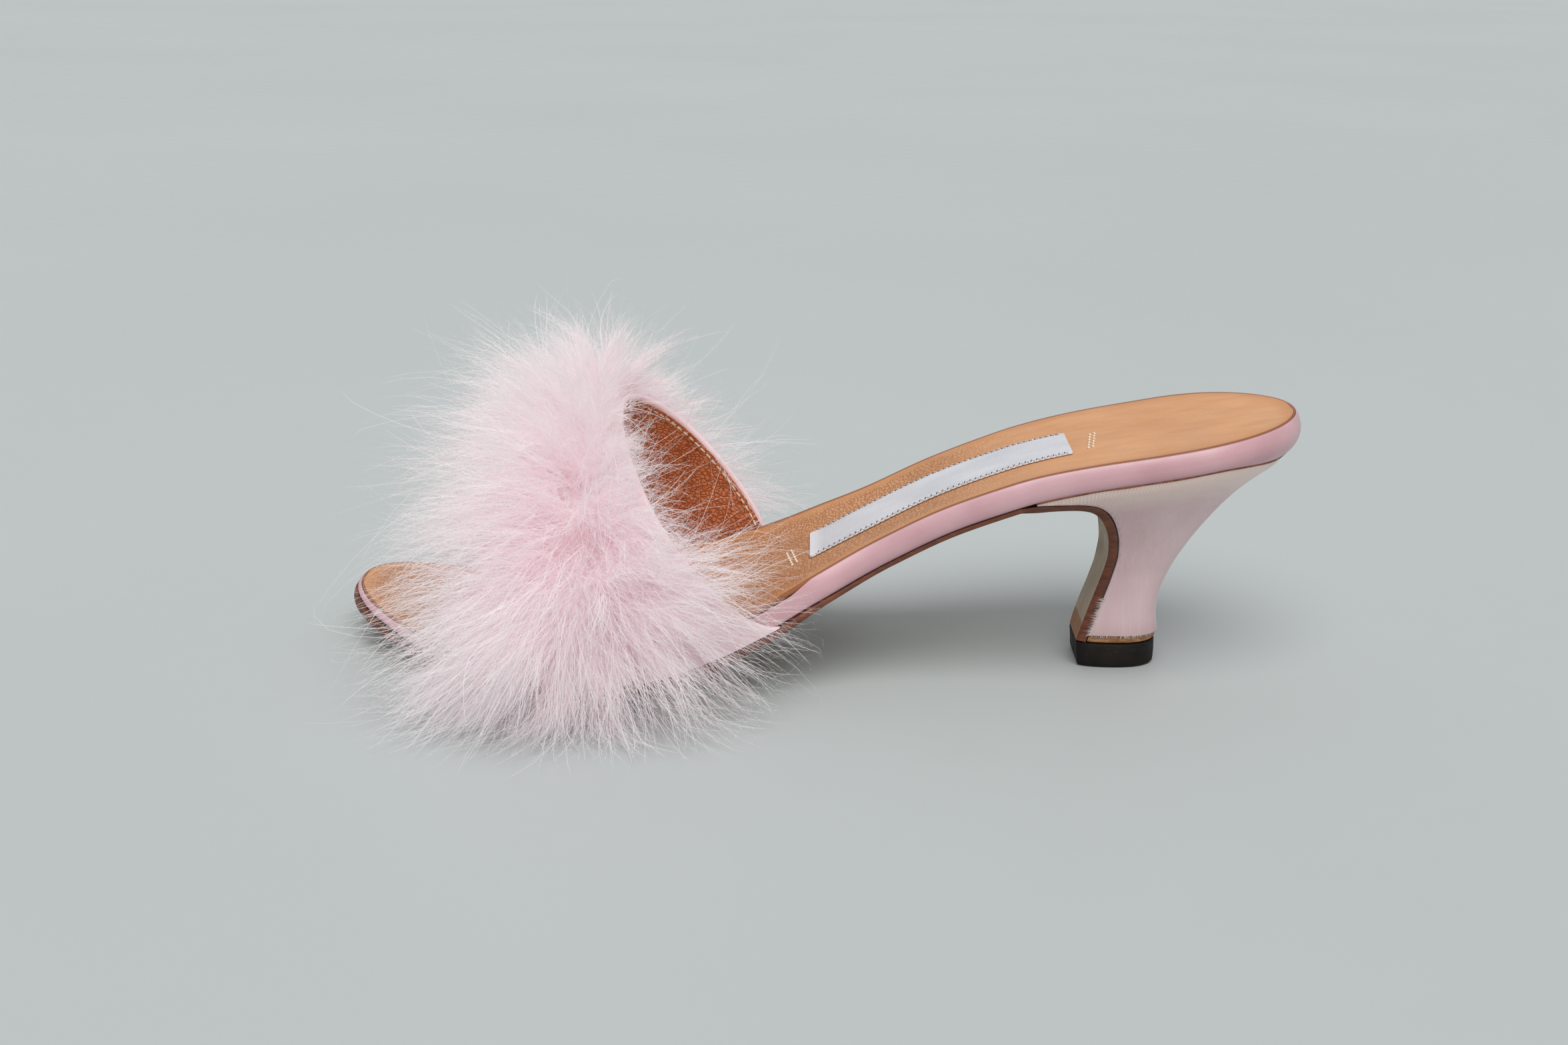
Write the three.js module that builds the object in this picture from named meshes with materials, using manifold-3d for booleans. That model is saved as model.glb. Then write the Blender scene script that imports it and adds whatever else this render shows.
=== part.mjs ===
// A left marabou mule on a small Louis heel: sole, covered insole, sock, heel, vamp band and feather trim.
// +X runs from the heel to the toe, +Y to the wearer's left, which is the outside of this foot, +Z up.
// The floor is z = 0, and the origin is the middle of the heel's top piece, on the floor.
import * as THREE from 'three';
import { mergeVertices } from 'three/addons/utils/BufferGeometryUtils.js';
import Module from 'manifold-3d';

const wasm = await Module();
wasm.setup();

// Driving dimensions of the last and its layers, in millimetres
const soleLength = 235;
const ballWidth = 75.8;
const heelHeight = 65;
const toeSpring = 7.6;
const medialRise = 4;
const soleThickness = 3.2;
const waistThickness = 2.2;
const rimDepth = 5.9;
const toeRimDepth = 2.1;
const rimBulge = 1.2;
const seatWrap = 3;
const seatTuck = 2.6;
const sockThickness = 1;
const seatDish = 0.7;
const clearance = 0.3;

// Driving dimensions of the heel
const topPieceHeight = 6.2;
const topPieceLength = 19.7;
const topPieceWidth = 17.4;
const topPieceBack = 31.9;
const liftThickness = 1.5;
const solePartingAt = 68.8;
const wedgeTipAt = 65;

// Driving dimensions of the vamp band and its feathers
const bandWall = 1.8;
const bandEase = 0.3;
const instepHeight = 62.5;
const bandRearOutside = 125.2;
const bandRearInside = 129;
const bandRearTop = 165;
const bandFrontOutside = 193.5;
const bandFrontInside = 199.5;
const bandFrontTop = 201.5;
const boaAt = 172.5;
const boaPile = 11;
const barbLength = 38;
const lockRadius = 2.5;
const lockCount = 78;
const endLockCount = 14;

// Driving dimensions of the woven label on the sock
const labelFrom = 54;
const labelLength = 60;
const labelWidth = 19;
const labelThickness = 0.5;

// Shares of the sizes above at each section from the heel tip (0) to the toe tip (1):
// pitch of the heel's rise, spring of the toe spring, halfWidth of half the ball width,
// centre of the ball width, rise of the medial rise, rim and sole from their thin to their thick value.
const lastSections = [
  { along: 0.00, pitch: 1.000, spring: 0.00, halfWidth: 0.718, centre: -0.038, rise: 0.00, rim: 1.00, sole: 0.00 },
  { along: 0.08, pitch: 0.950, spring: 0.00, halfWidth: 0.739, centre: -0.034, rise: 0.00, rim: 1.00, sole: 0.00 },
  { along: 0.15, pitch: 0.898, spring: 0.00, halfWidth: 0.741, centre: -0.028, rise: 0.00, rim: 1.00, sole: 0.00 },
  { along: 0.22, pitch: 0.845, spring: 0.00, halfWidth: 0.716, centre: -0.021, rise: 0.00, rim: 1.00, sole: 0.00 },
  { along: 0.27, pitch: 0.794, spring: 0.00, halfWidth: 0.681, centre: -0.015, rise: 0.02, rim: 1.00, sole: 0.00 },
  { along: 0.31, pitch: 0.737, spring: 0.00, halfWidth: 0.657, centre: -0.007, rise: 0.06, rim: 1.00, sole: 0.00 },
  { along: 0.36, pitch: 0.652, spring: 0.00, halfWidth: 0.623, centre: 0.003, rise: 0.18, rim: 1.00, sole: 0.00 },
  { along: 0.42, pitch: 0.522, spring: 0.00, halfWidth: 0.602, centre: 0.014, rise: 0.38, rim: 1.00, sole: 0.00 },
  { along: 0.48, pitch: 0.379, spring: 0.00, halfWidth: 0.675, centre: 0.015, rise: 0.62, rim: 1.00, sole: 0.25 },
  { along: 0.54, pitch: 0.231, spring: 0.00, halfWidth: 0.786, centre: 0.007, rise: 0.86, rim: 0.96, sole: 0.60 },
  { along: 0.60, pitch: 0.116, spring: 0.00, halfWidth: 0.899, centre: -0.004, rise: 1.00, rim: 0.90, sole: 0.97 },
  { along: 0.66, pitch: 0.045, spring: 0.00, halfWidth: 0.992, centre: -0.016, rise: 0.92, rim: 0.80, sole: 1.00 },
  { along: 0.73, pitch: 0.000, spring: 0.00, halfWidth: 0.990, centre: -0.029, rise: 0.55, rim: 0.66, sole: 1.00 },
  { along: 0.81, pitch: 0.000, spring: 0.00, halfWidth: 0.930, centre: -0.050, rise: 0.12, rim: 0.46, sole: 1.00 },
  { along: 0.86, pitch: 0.000, spring: 0.19, halfWidth: 0.855, centre: -0.075, rise: 0.00, rim: 0.32, sole: 1.00 },
  { along: 0.90, pitch: 0.000, spring: 0.38, halfWidth: 0.785, centre: -0.104, rise: 0.00, rim: 0.21, sole: 1.00 },
  { along: 0.95, pitch: 0.000, spring: 0.70, halfWidth: 0.733, centre: -0.158, rise: 0.00, rim: 0.10, sole: 1.00 },
  { along: 1.00, pitch: 0.000, spring: 1.00, halfWidth: 0.707, centre: -0.226, rise: 0.00, rim: 0.00, sole: 1.00 },
];

// The pink rim's rounded side: out is a share of the bulge, up a share of the rim's depth from the sole
const rimProfile = [
  { out: 0.45, up: 0.86 },
  { out: 0.85, up: 0.72 },
  { out: 1.00, up: 0.50 },
  { out: 0.95, up: 0.25 },
  { out: 0.55, up: 0.04 },
];

// How far the heel keeps the seat's outline at each depth from the seat (0) to its foot (1),
// at the back and at the sides: 1 is the seat, 0 is the top piece.
const heelFlare = [
  { depth: 0.00, back: 1.00, side: 1.00 },
  { depth: 0.05, back: 0.93, side: 0.93 },
  { depth: 0.10, back: 0.82, side: 0.79 },
  { depth: 0.18, back: 0.66, side: 0.56 },
  { depth: 0.26, back: 0.53, side: 0.38 },
  { depth: 0.34, back: 0.42, side: 0.25 },
  { depth: 0.42, back: 0.32, side: 0.14 },
  { depth: 0.50, back: 0.23, side: 0.06 },
  { depth: 0.59, back: 0.14, side: 0.00 },
  { depth: 0.68, back: 0.07, side: -0.04 },
  { depth: 0.77, back: 0.02, side: -0.04 },
  { depth: 0.88, back: 0.00, side: -0.02 },
  { depth: 1.00, back: 0.02, side: 0.00 },
];

// The sole's lower face from the waist down the heel's breast to the top piece:
// forward is a share of the top piece's breast, up is 1 at the waist and 0 at the flap's foot.
const breastSections = [
  { forward: 1.255, up: 0.998 },
  { forward: 1.165, up: 1.000 },
  { forward: 1.075, up: 0.995 },
  { forward: 1.010, up: 0.975 },
  { forward: 0.962, up: 0.930 },
  { forward: 0.926, up: 0.860 },
  { forward: 0.902, up: 0.780 },
  { forward: 0.889, up: 0.700 },
  { forward: 0.886, up: 0.620 },
  { forward: 0.902, up: 0.490 },
  { forward: 0.930, up: 0.357 },
  { forward: 0.962, up: 0.225 },
  { forward: 0.986, up: 0.120 },
  { forward: 1.000, up: 0.050 },
  { forward: 1.010, up: 0.000 },
];

// The ridge of the band over the foot: along is a share of the sole length, height of the instep height
const instepSections = [
  { along: 0.50, height: 1.260 },
  { along: 0.54, height: 1.190 },
  { along: 0.62, height: 1.105 },
  { along: 0.70, height: 1.000 },
  { along: 0.77, height: 0.865 },
  { along: 0.835, height: 0.740 },
  { along: 0.90, height: 0.620 },
];

const clamp = THREE.MathUtils.clamp;
const lerp = THREE.MathUtils.lerp;
const smooth = (t) => THREE.MathUtils.smoothstep(t, 0, 1);
const range = (count) => Array.from({ length: count }, (_, i) => i);

// A smooth curve through one column of a table that never overshoots between its rows.
function column(rows, at, name) {
  const x = rows.map((row) => row[at]);
  const y = rows.map((row) => row[name]);
  const slope = range(x.length - 1).map((i) => (y[i + 1] - y[i]) / (x[i + 1] - x[i]));
  const tangent = x.map((_, i) => {
    if (i === 0) return slope[0];
    if (i === x.length - 1) return slope[i - 1];
    const [before, after] = [slope[i - 1], slope[i]];
    if (before * after <= 0) return 0;
    const [w0, w1] = [x[i + 1] - x[i], x[i] - x[i - 1]];
    return (3 * (w0 + w1)) / ((2 * w1 + w0) / after + (w1 + 2 * w0) / before);
  });
  return (value) => {
    const v = clamp(value, x[0], x[x.length - 1]);
    const i = Math.max(0, x.findLastIndex((knot, k) => knot <= v && k < x.length - 1));
    const h = x[i + 1] - x[i];
    const t = (v - x[i]) / h;
    const keep = 2 * t ** 3 - 3 * t ** 2 + 1;
    const lean = t ** 3 - 2 * t ** 2 + t;
    const end = t ** 3 - t ** 2;
    return keep * y[i] + lean * h * tangent[i] + (1 - keep) * y[i + 1] + end * h * tangent[i + 1];
  };
}

// A closed solid through rings of points; a ring that has shrunk to a line or a point needs no cap.
function loft(rings, caps = { start: true, end: true }) {
  const size = rings[0].length;
  const positions = rings.flat().flatMap((p) => [p.x, p.y, p.z]);
  const index = [];
  for (const r of range(rings.length - 1)) {
    for (const i of range(size)) {
      const j = (i + 1) % size;
      const [a, b, c, d] = [r * size + i, r * size + j, (r + 1) * size + i, (r + 1) * size + j];
      index.push(a, c, b, b, c, d);
    }
  }
  const final = (rings.length - 1) * size;
  for (const i of range(Math.floor((size - 1) / 2))) {
    const [a, b, c, d] = [i, i + 1, size - 2 - i, size - 1 - i];
    if (caps.start) index.push(a, b, c, a, c, d);
    if (caps.end) index.push(final + a, final + c, final + b, final + a, final + d, final + c);
  }
  const raw = new THREE.BufferGeometry();
  raw.setAttribute('position', new THREE.Float32BufferAttribute(positions, 3));
  raw.setIndex(index);
  return facingOut(raw);
}

// Merges shared points, drops triangles that have shrunk to nothing and turns the faces outward.
function facingOut(raw) {
  const merged = mergeVertices(raw, 1e-3);
  const point = new THREE.Vector3().fromBufferAttribute.bind(new THREE.Vector3());
  const at = (i) => point(merged.attributes.position, i).clone();
  const kept = [];
  let volume = 0;
  for (let i = 0; i < merged.index.count; i += 3) {
    const [a, b, c] = [0, 1, 2].map((k) => merged.index.getX(i + k));
    if (a === b || b === c || c === a) continue;
    volume += at(a).dot(at(b).cross(at(c)));
    kept.push([a, b, c]);
  }
  merged.setIndex(kept.flatMap(([a, b, c]) => (volume > 0 ? [a, b, c] : [a, c, b])));
  return merged;
}

function toManifold(geometry) {
  return new wasm.Manifold(new wasm.Mesh({
    numProp: 3,
    vertProperties: new Float32Array(geometry.attributes.position.array),
    triVerts: new Uint32Array(geometry.index.array),
  }));
}

function fromManifold(solid) {
  const mesh = solid.getMesh();
  const geometry = new THREE.BufferGeometry();
  geometry.setAttribute('position', new THREE.Float32BufferAttribute(mesh.vertProperties, 3));
  geometry.setIndex(Array.from(mesh.triVerts));
  return geometry;
}

// The last: its sole line, its outline and the layers that are stacked on it
const last = Object.fromEntries(
  ['pitch', 'spring', 'halfWidth', 'centre', 'rise', 'rim', 'sole'].map((name) => [
    name,
    column(lastSections, 'along', name),
  ]),
);
const heelRise = heelHeight - (waistThickness + clearance + rimDepth);
const tipRound = 0.4 * ballWidth;
const slopeStep = 0.5;
const riseFrom = 0.4;

const soleAt = (x) => lerp(waistThickness, soleThickness, last.sole(x / soleLength));
const rimAt = (x) => lerp(toeRimDepth, rimDepth, last.rim(x / soleLength));
const stackAt = (x) => soleAt(x) + clearance + rimAt(x);

function soleLine(x) {
  const share = x / soleLength;
  return last.pitch(share) * heelRise + last.spring(share) * toeSpring;
}

// The way up, square to the sole line in the side view.
function soleNormal(x) {
  const near = clamp(x, slopeStep, soleLength - slopeStep);
  const slope = (soleLine(near + slopeStep) - soleLine(near - slopeStep)) / (2 * slopeStep);
  return new THREE.Vector3(-slope, 0, 1).normalize();
}

const tipCap = (x) => {
  const inside = clamp(Math.min(x, soleLength - x) / tipRound, 0, 1);
  return Math.sqrt(1 - (1 - inside) ** 2);
};

// A point of a layer: x along the sole line, side from -1 (inside of the foot) to 1 (outside),
// up from the sole's lower face, out beyond the sock's outline.
function lastPoint(x, side, up, out) {
  const share = x / soleLength;
  const station = -out + x * (1 + (2 * out) / soleLength);
  const half = ((last.halfWidth(share) * ballWidth) / 2 + out) * tipCap(x);
  const lift = medialRise * last.rise(share) * clamp((-side - riseFrom) / (1 - riseFrom), 0, 1) ** 1.5;
  const overhang = station - clamp(station, 0, soleLength);
  const normal = soleNormal(x);
  return new THREE.Vector3(
    station + up * normal.x,
    last.centre(share) * ballWidth + side * half,
    soleLine(station) - (overhang * normal.x) / normal.z + up * normal.z + lift,
  );
}

// Stations along the sole line, closer together where the tips are round.
const tipSteps = 6;
const bodySteps = 21;
const tipStations = range(tipSteps).map((i) => tipRound * (1 - Math.cos((i / tipSteps) * (Math.PI / 2))));
const bodyStations = range(bodySteps + 1).map((i) => lerp(tipRound, soleLength - tipRound, i / bodySteps));
const stations = [
  ...tipStations,
  ...bodyStations,
  ...tipStations.toReversed().map((x) => soleLength - x),
];
const columns = [-1, -0.75, -0.4, 0, 0.4, 0.75, 1];

// One cross-section of a layer: over the top, down the outside, back underneath, up the inside.
function layerRing(x, { top, sides, bottom }) {
  const edge = (level, side) => lastPoint(x, side, level.up(x), level.out(x));
  const across = (level) => columns.map((side) => lastPoint(x, side, level.up(x, side), level.out(x)));
  return [
    ...across(top),
    ...sides.map((level) => edge(level, 1)),
    ...across(bottom).toReversed(),
    ...sides.toReversed().map((level) => edge(level, -1)),
  ];
}

// The band covers the rim's side, so the rim draws in between the band's two edges.
const bandFade = 9;
const bandMargin = 5;
const rimOut = (x) => {
  const behind = smooth((bandRearOutside - bandMargin - x) / bandFade);
  const ahead = smooth((x - bandFrontInside - bandMargin) / bandFade);
  return rimBulge * Math.max(behind, ahead) * Math.sqrt(rimAt(x) / rimDepth);
};
const dishAt = (x, side) => seatDish * (1 - side ** 2) * tipCap(x);
const wrapShare = (x) => 1 - smooth(x / 24);
const wrapAt = (x) => seatWrap * wrapShare(x);

function makeSock() {
  const top = (x) => stackAt(x);
  const layer = {
    top: { out: () => -0.35, up: (x, side) => top(x) - dishAt(x, side) },
    sides: [{ out: () => 0, up: (x) => top(x) - 0.35 }],
    bottom: { out: () => 0, up: (x, side) => top(x) - sockThickness - dishAt(x, side) },
  };
  return loft(stations.map((x) => layerRing(x, layer)), {});
}

function makeInsole() {
  const bed = (x, side) => stackAt(x) - sockThickness - clearance - dishAt(x, side);
  const layer = {
    top: { out: () => 0, up: bed },
    sides: rimProfile.map(({ out, up }) => ({
      out: (x) => out * rimOut(x) - seatTuck * wrapShare(x) * (1 - up) ** 3,
      up: (x) => lerp(soleAt(x) + clearance - wrapAt(x), bed(x, 1), up / rimProfile[0].up),
    })),
    bottom: { out: (x) => -seatTuck * wrapShare(x), up: (x) => soleAt(x) + clearance - wrapAt(x) },
  };
  return loft(stations.map((x) => layerRing(x, layer)), {});
}

// A flat woven strip that lies along the sock.
function makeLabel() {
  const steps = 9;
  const ring = (x) => {
    const half = (last.halfWidth(x / soleLength) * ballWidth) / 2;
    const side = (y) => (y - last.centre(x / soleLength) * ballWidth) / half;
    const edges = [-0.5, -0.17, 0.17, 0.5].map((share) => side(share * labelWidth));
    const at = (s, lift) => lastPoint(x, s, stackAt(x) - dishAt(x, s) + clearance + lift, 0);
    return [...edges.map((s) => at(s, labelThickness)), ...edges.toReversed().map((s) => at(s, 0))];
  };
  return loft(range(steps + 1).map((i) => ring(labelFrom + (labelLength * i) / steps)));
}

// The heel's form, from the seat's outline down to the top piece's outline
const breastFoot = topPieceBack + topPieceLength;
const footCentre = topPieceBack + 0.6 * topPieceLength;
const footHalfLength = footCentre - topPieceBack;
const footExponent = 2.4;
const footSideShift = -0.03 * topPieceWidth;
const openAngle = (5 / 6) * Math.PI;
const liftBottom = topPieceHeight + clearance;
const heelBottom = liftBottom + liftThickness + clearance;
const flareBack = column(heelFlare, 'depth', 'back');
const flareSide = column(heelFlare, 'depth', 'side');

const superRound = (value) => Math.sign(value) * Math.abs(value) ** (2 / footExponent);

// A point of the foot's outline at share 0 (the back) to 1 (in front of the breast).
function footPoint(share, side, z, grow = 0) {
  const angle = share * openAngle;
  return new THREE.Vector3(
    footCentre - (footHalfLength + grow) * superRound(Math.cos(angle)),
    footSideShift + side * (topPieceWidth / 2 + grow) * superRound(Math.sin(angle)),
    z,
  );
}

function seatPoint(share, side) {
  const x = wedgeTipAt * (1 - Math.cos((share * Math.PI) / 2));
  return lastPoint(x, side, waistThickness - wrapAt(x), 0.3 - seatTuck * wrapShare(x));
}

function heelPoint(share, side, depth) {
  const seat = seatPoint(share, side);
  const foot = footPoint(share, side, heelBottom);
  const front = Math.sin((share * Math.PI) / 2) ** 2;
  const forward = lerp(flareBack(depth), 1 - depth, front);
  return new THREE.Vector3(
    lerp(foot.x, seat.x, forward),
    lerp(foot.y, seat.y, flareSide(depth)),
    lerp(seat.z, foot.z, depth),
  );
}

// The y of the heel's side where it passes through a point of the side view.
function heelSideAt(x, z, side) {
  let [low, high] = [0.35, 1];
  const probe = (share) => {
    const seat = seatPoint(share, side);
    return heelPoint(share, side, clamp((seat.z - z) / (seat.z - heelBottom), 0, 1));
  };
  for (const _ of range(30)) {
    const middle = (low + high) / 2;
    if (probe(middle).x < x) low = middle;
    else high = middle;
  }
  return probe((low + high) / 2).y;
}

// The sole's run from the waist down the breast, as points of its lower face and its way in.
const flapFoot = topPieceHeight + clearance;
const waistHeight = soleLine(solePartingAt) + 0.5;
const breastPath = breastSections.map(({ forward, up }) => ({
  x: forward * breastFoot,
  z: lerp(flapFoot, waistHeight, up),
}));
const breastRun = breastPath.map((point, i) => {
  const before = breastPath[i - 1] ?? { x: solePartingAt, z: soleLine(solePartingAt) };
  const after = breastPath[i + 1];
  if (!after) return { ...point, normal: new THREE.Vector3(-1, 0, 0) };
  const way = new THREE.Vector3(after.z - before.z, 0, before.x - after.x).normalize();
  return { ...point, normal: i === 0 ? way.add(soleNormal(solePartingAt)).normalize() : way };
});
const breastAt = (station, up) => ({
  x: station.x + up * station.normal.x,
  z: station.z + up * station.normal.z,
});
const flapBack = breastRun.map((station) => breastAt(station, waistThickness + clearance));

// How far forward a piece behind the flap may reach at a height near the flap's foot.
function flapBackAt(z) {
  const i = clamp(flapBack.findLastIndex((point) => point.z > z), 0, flapBack.length - 2);
  const [above, below] = [flapBack[i], flapBack[i + 1]];
  return lerp(below.x, above.x, (z - below.z) / (above.z - below.z));
}

// The flat rest under the ball, in shares of the half width
const ballAt = 0.75 * soleLength;
const restHalf = 0.42;
const edgeLift = 1.1;
const crown = (side) => edgeLift * smooth((Math.abs(side) - restHalf) / (1 - restHalf)) ** 2;

// How far the sole stands out beyond the sock: little at the waist, under the whole band at the ball
const waistFlange = 0.4;
const toeFlange = 1.5;
const flangeFade = 14;
function flange(x) {
  const underBand = clearance + bandEase + bandWall + 0.1;
  if (x < ballAt) return lerp(waistFlange, underBand, smooth((x - bandRearOutside) / flangeFade + 0.9));
  return lerp(underBand, toeFlange, smooth((x - bandFrontInside) / flangeFade));
}

function makeOutsole() {
  const foreStations = stations.filter((x) => x > solePartingAt).toReversed();
  const layer = {
    top: { out: (x) => flange(x) - 0.2, up: (x) => soleAt(x) },
    sides: [
      { out: flange, up: (x) => 0.8 * soleAt(x) },
      { out: flange, up: (x) => 0.25 * soleAt(x) + crown(1) },
    ],
    bottom: { out: (x) => flange(x) - 0.5, up: (x, side) => crown(side) },
  };
  const foreRings = [...foreStations, solePartingAt].map((x) => layerRing(x, layer));
  const tailRings = breastRun.map((station) => {
    const faceAt = (up, inset) => {
      const { x, z } = breastAt(station, up);
      const [inner, outer] = [-1, 1].map((side) => heelSideAt(x, Math.max(z, flapFoot), side) - side * inset);
      return columns.map((side) => new THREE.Vector3(x, lerp(inner, outer, (side + 1) / 2), z));
    };
    const [top, high, low, bottom] = [
      faceAt(waistThickness, 0.1),
      faceAt(0.8 * waistThickness, 0),
      faceAt(0.25 * waistThickness, 0),
      faceAt(0, 0.25),
    ];
    const end = columns.length - 1;
    return [...top, high[end], low[end], ...bottom.toReversed(), low[0], high[0]];
  });
  return loft([...foreRings, ...tailRings], { end: true });
}

// The heel: the form above less all that lies in front of the sole's flap.
function makeHeel() {
  const shares = range(15).map((i) => i / 14);
  const depths = [0, 0.05, 0.1, 0.16, 0.22, 0.28, 0.35, 0.42, 0.5, 0.58, 0.67, 0.77, 0.88, 1];
  const ringAt = (depth) => [
    ...shares.toReversed().map((share) => heelPoint(share, -1, depth)),
    ...shares.slice(1).map((share) => heelPoint(share, 1, depth)),
  ];
  const form = loft(depths.map(ringAt));
  const start = { x: solePartingAt + 3, z: flapBack[0].z };
  const end = { x: flapBack.at(-1).x, z: 0 };
  const profile = [start, ...flapBack, end, { x: soleLength / 2, z: 0 }, { x: soleLength / 2, z: start.z }];
  const shape = new THREE.Shape(profile.map(({ x, z }) => new THREE.Vector2(x, z)));
  const front = new THREE.ExtrudeGeometry(shape, { depth: 2 * ballWidth, bevelEnabled: false });
  front.rotateX(Math.PI / 2);
  front.translate(0, ballWidth, 0);
  front.deleteAttribute('normal');
  front.deleteAttribute('uv');
  return fromManifold(toManifold(form).subtract(toManifold(facingOut(mergeVertices(front)))));
}

// A slab of the foot's outline with a straight breast at frontAt.
function footSlab(low, high, frontAt, grow) {
  const steps = 11;
  const breastShare = (front) => {
    const across = clamp((front - footCentre) / (footHalfLength + grow), 0, 0.99);
    return Math.acos(-(across ** (footExponent / 2))) / openAngle;
  };
  const ringAt = (z) => {
    const front = frontAt(z);
    const shares = range(steps + 1).map((i) => (breastShare(front) * i) / steps);
    return [
      ...shares.toReversed().map((share) => footPoint(share, -1, z, grow)),
      ...shares.slice(1).map((share) => footPoint(share, 1, z, grow)),
    ];
  };
  return loft([ringAt(low), ringAt(high)]);
}

const breastFace = breastRun.at(-1).x;
const makeTopPiece = () => footSlab(0, topPieceHeight, (z) => lerp(breastFoot, breastFace, z / topPieceHeight), 0);
const makeLift = () => footSlab(liftBottom, liftBottom + liftThickness, flapBackAt, 0);

// The vamp band: an arch from the sole's outside edge over the instep to its inside edge
const ridgeAt = column(instepSections, 'along', 'height');
const archExponent = 2.3;
const archLean = -0.09 * ballWidth;
const archBulge = { outside: 0.04 * ballWidth, inside: 0.013 * ballWidth };

// The edge of the bed that the band comes down to, at a place along the floor.
function bedEdge(x, side) {
  let station = x;
  for (const _ of range(4)) station = x - (soleAt(station) + clearance) * soleNormal(station).x;
  return lastPoint(station, side, soleAt(station) + clearance, clearance + bandEase);
}

function archPoint(x, angle, off) {
  const outside = bedEdge(x, 1);
  const inside = bedEdge(x, -1);
  const [c, s] = [Math.cos(angle), Math.sin(angle)];
  const round = (value) => Math.sign(value) * Math.abs(value) ** (2 / archExponent);
  const half = (outside.y - inside.y) / 2 + off;
  const foot = lerp(inside.z, outside.z, (1 + c) / 2);
  const height = ridgeAt(x / soleLength) * instepHeight - bandWall - (inside.z + outside.z) / 2 + off;
  const bulge = c > 0 ? archBulge.outside : archBulge.inside;
  return new THREE.Vector3(
    x,
    (outside.y + inside.y) / 2 + half * round(c) + bulge * 2 * s * c + archLean * s ** 4,
    foot + height * Math.abs(s) ** (2 / archExponent),
  );
}

// Where the band's rear and front edges run, from the outside (0) over the top to the inside (pi).
function bandRear(angle) {
  const s = Math.max(0, Math.sin(angle));
  const outer = lerp(bandRearOutside, bandRearTop, s ** 0.67);
  const inner = lerp(bandRearInside, bandRearTop, s ** 1.2);
  return lerp(outer, inner, smooth((angle / Math.PI - 0.35) / 0.3));
}

function bandFront(angle) {
  const s = Math.max(0, Math.sin(angle)) ** 2;
  return lerp(angle < Math.PI / 2 ? bandFrontOutside : bandFrontInside, bandFrontTop, s);
}

function bandPoint(angle, share, off) {
  return archPoint(lerp(bandRear(angle), bandFront(angle), share), angle, off);
}

const archAngles = (count, margin) =>
  range(count + 1).map((i) => {
    const even = i / count;
    const eased = even - 0.07 * Math.sin(2 * Math.PI * even);
    return lerp(margin, Math.PI - margin, eased);
  });

const bandShares = [0, 0.14, 0.28, 0.42, 0.56, 0.7, 0.85, 1];

// The band's wall, from off to off + wall outside the lining.
function bandShell(off, wall, shares) {
  const rings = archAngles(30, 0).map((angle) => [
    ...shares.map((share) => bandPoint(angle, share, off)),
    ...shares.toReversed().map((share) => bandPoint(angle, share, off + wall)),
  ]);
  return loft(rings);
}

const makeUpper = () => bandShell(0, bandWall, bandShares);

// The feather trim: a boa along the band's middle whose barbs stand out all round it
const coreMargin = 0.05;
const stripWidth = 5;
const skirtRise = 0.75;
const skirtSpread = 1.4;
const rearRootSpread = 18;
const frontRootSpread = 5;

const random = (seed) => {
  const value = Math.sin(seed * 12.9898 + 4.1) * 43758.5453;
  return value - Math.floor(value);
};

// The core spreads like a skirt towards the band's two ends, where the barbs hang down to the floor.
function coreThickness(x, angle) {
  const low = 1 - smooth((Math.min(angle, Math.PI - angle) - coreMargin) / skirtRise);
  const hump = Math.exp(-(((x - boaAt) / (lerp(1.2, 1.8, low) * boaPile)) ** 2));
  return 1.5 + (0.15 + 0.85 * hump) * boaPile * lerp(1, skirtSpread, low);
}

function makeCore() {
  const shares = [0, 0.12, 0.25, 0.38, 0.5, 0.65, 0.82, 1];
  const rings = archAngles(24, coreMargin).map((angle) => {
    const [rear, front] = [bandRear(angle) + stripWidth, bandFront(angle) - 1];
    const at = (share, off) => archPoint(lerp(rear, front, share), angle, off);
    return [
      ...shares.map((share) => at(share, bandWall / 2)),
      ...shares.toReversed().map((share) => {
        const x = lerp(rear, front, share);
        return at(share, bandWall + clearance + coreThickness(x, angle));
      }),
    ];
  });
  return loft(rings);
}

// A tapered lock along start + way, bending down by droop at its tip.
function makeLock(start, way, length, droop, radius) {
  const floorGap = 1.2;
  const spine = [0, 0.35, 0.7, 1].map((share) => {
    const point = start.clone().addScaledVector(way, length * share);
    point.z = Math.max(point.z - droop * share ** 2, floorGap + radius * (1 - share));
    return point;
  });
  const rings = spine.map((point, i) => {
    const ahead = spine[Math.min(i + 1, 3)].clone().sub(spine[Math.max(i - 1, 0)]).normalize();
    const across = new THREE.Vector3(-ahead.y, ahead.x, 0.01).normalize();
    const over = ahead.clone().cross(across).normalize();
    const size = radius * [1, 1.1, 0.65, 0.12][i];
    return range(3).map((k) => {
      const turn = (k * 2 * Math.PI) / 3;
      return point
        .clone()
        .addScaledVector(across, size * Math.cos(turn))
        .addScaledVector(over, size * Math.sin(turn));
    });
  });
  return loft(rings);
}

function boaFrame(x, angle) {
  const skin = bandWall + clearance;
  const at = archPoint(x, angle, skin + 0.35 * coreThickness(x, angle));
  const along = archPoint(x, angle + 0.02, skin).sub(archPoint(x, angle - 0.02, skin)).normalize();
  const ahead = archPoint(x + 1, angle, skin).sub(archPoint(x - 1, angle, skin)).normalize();
  const normal = ahead.clone().cross(along).normalize();
  if (normal.dot(new THREE.Vector3(0, Math.cos(angle), Math.sin(angle))) < 0) normal.negate();
  return { at, along, ahead, normal };
}

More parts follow.
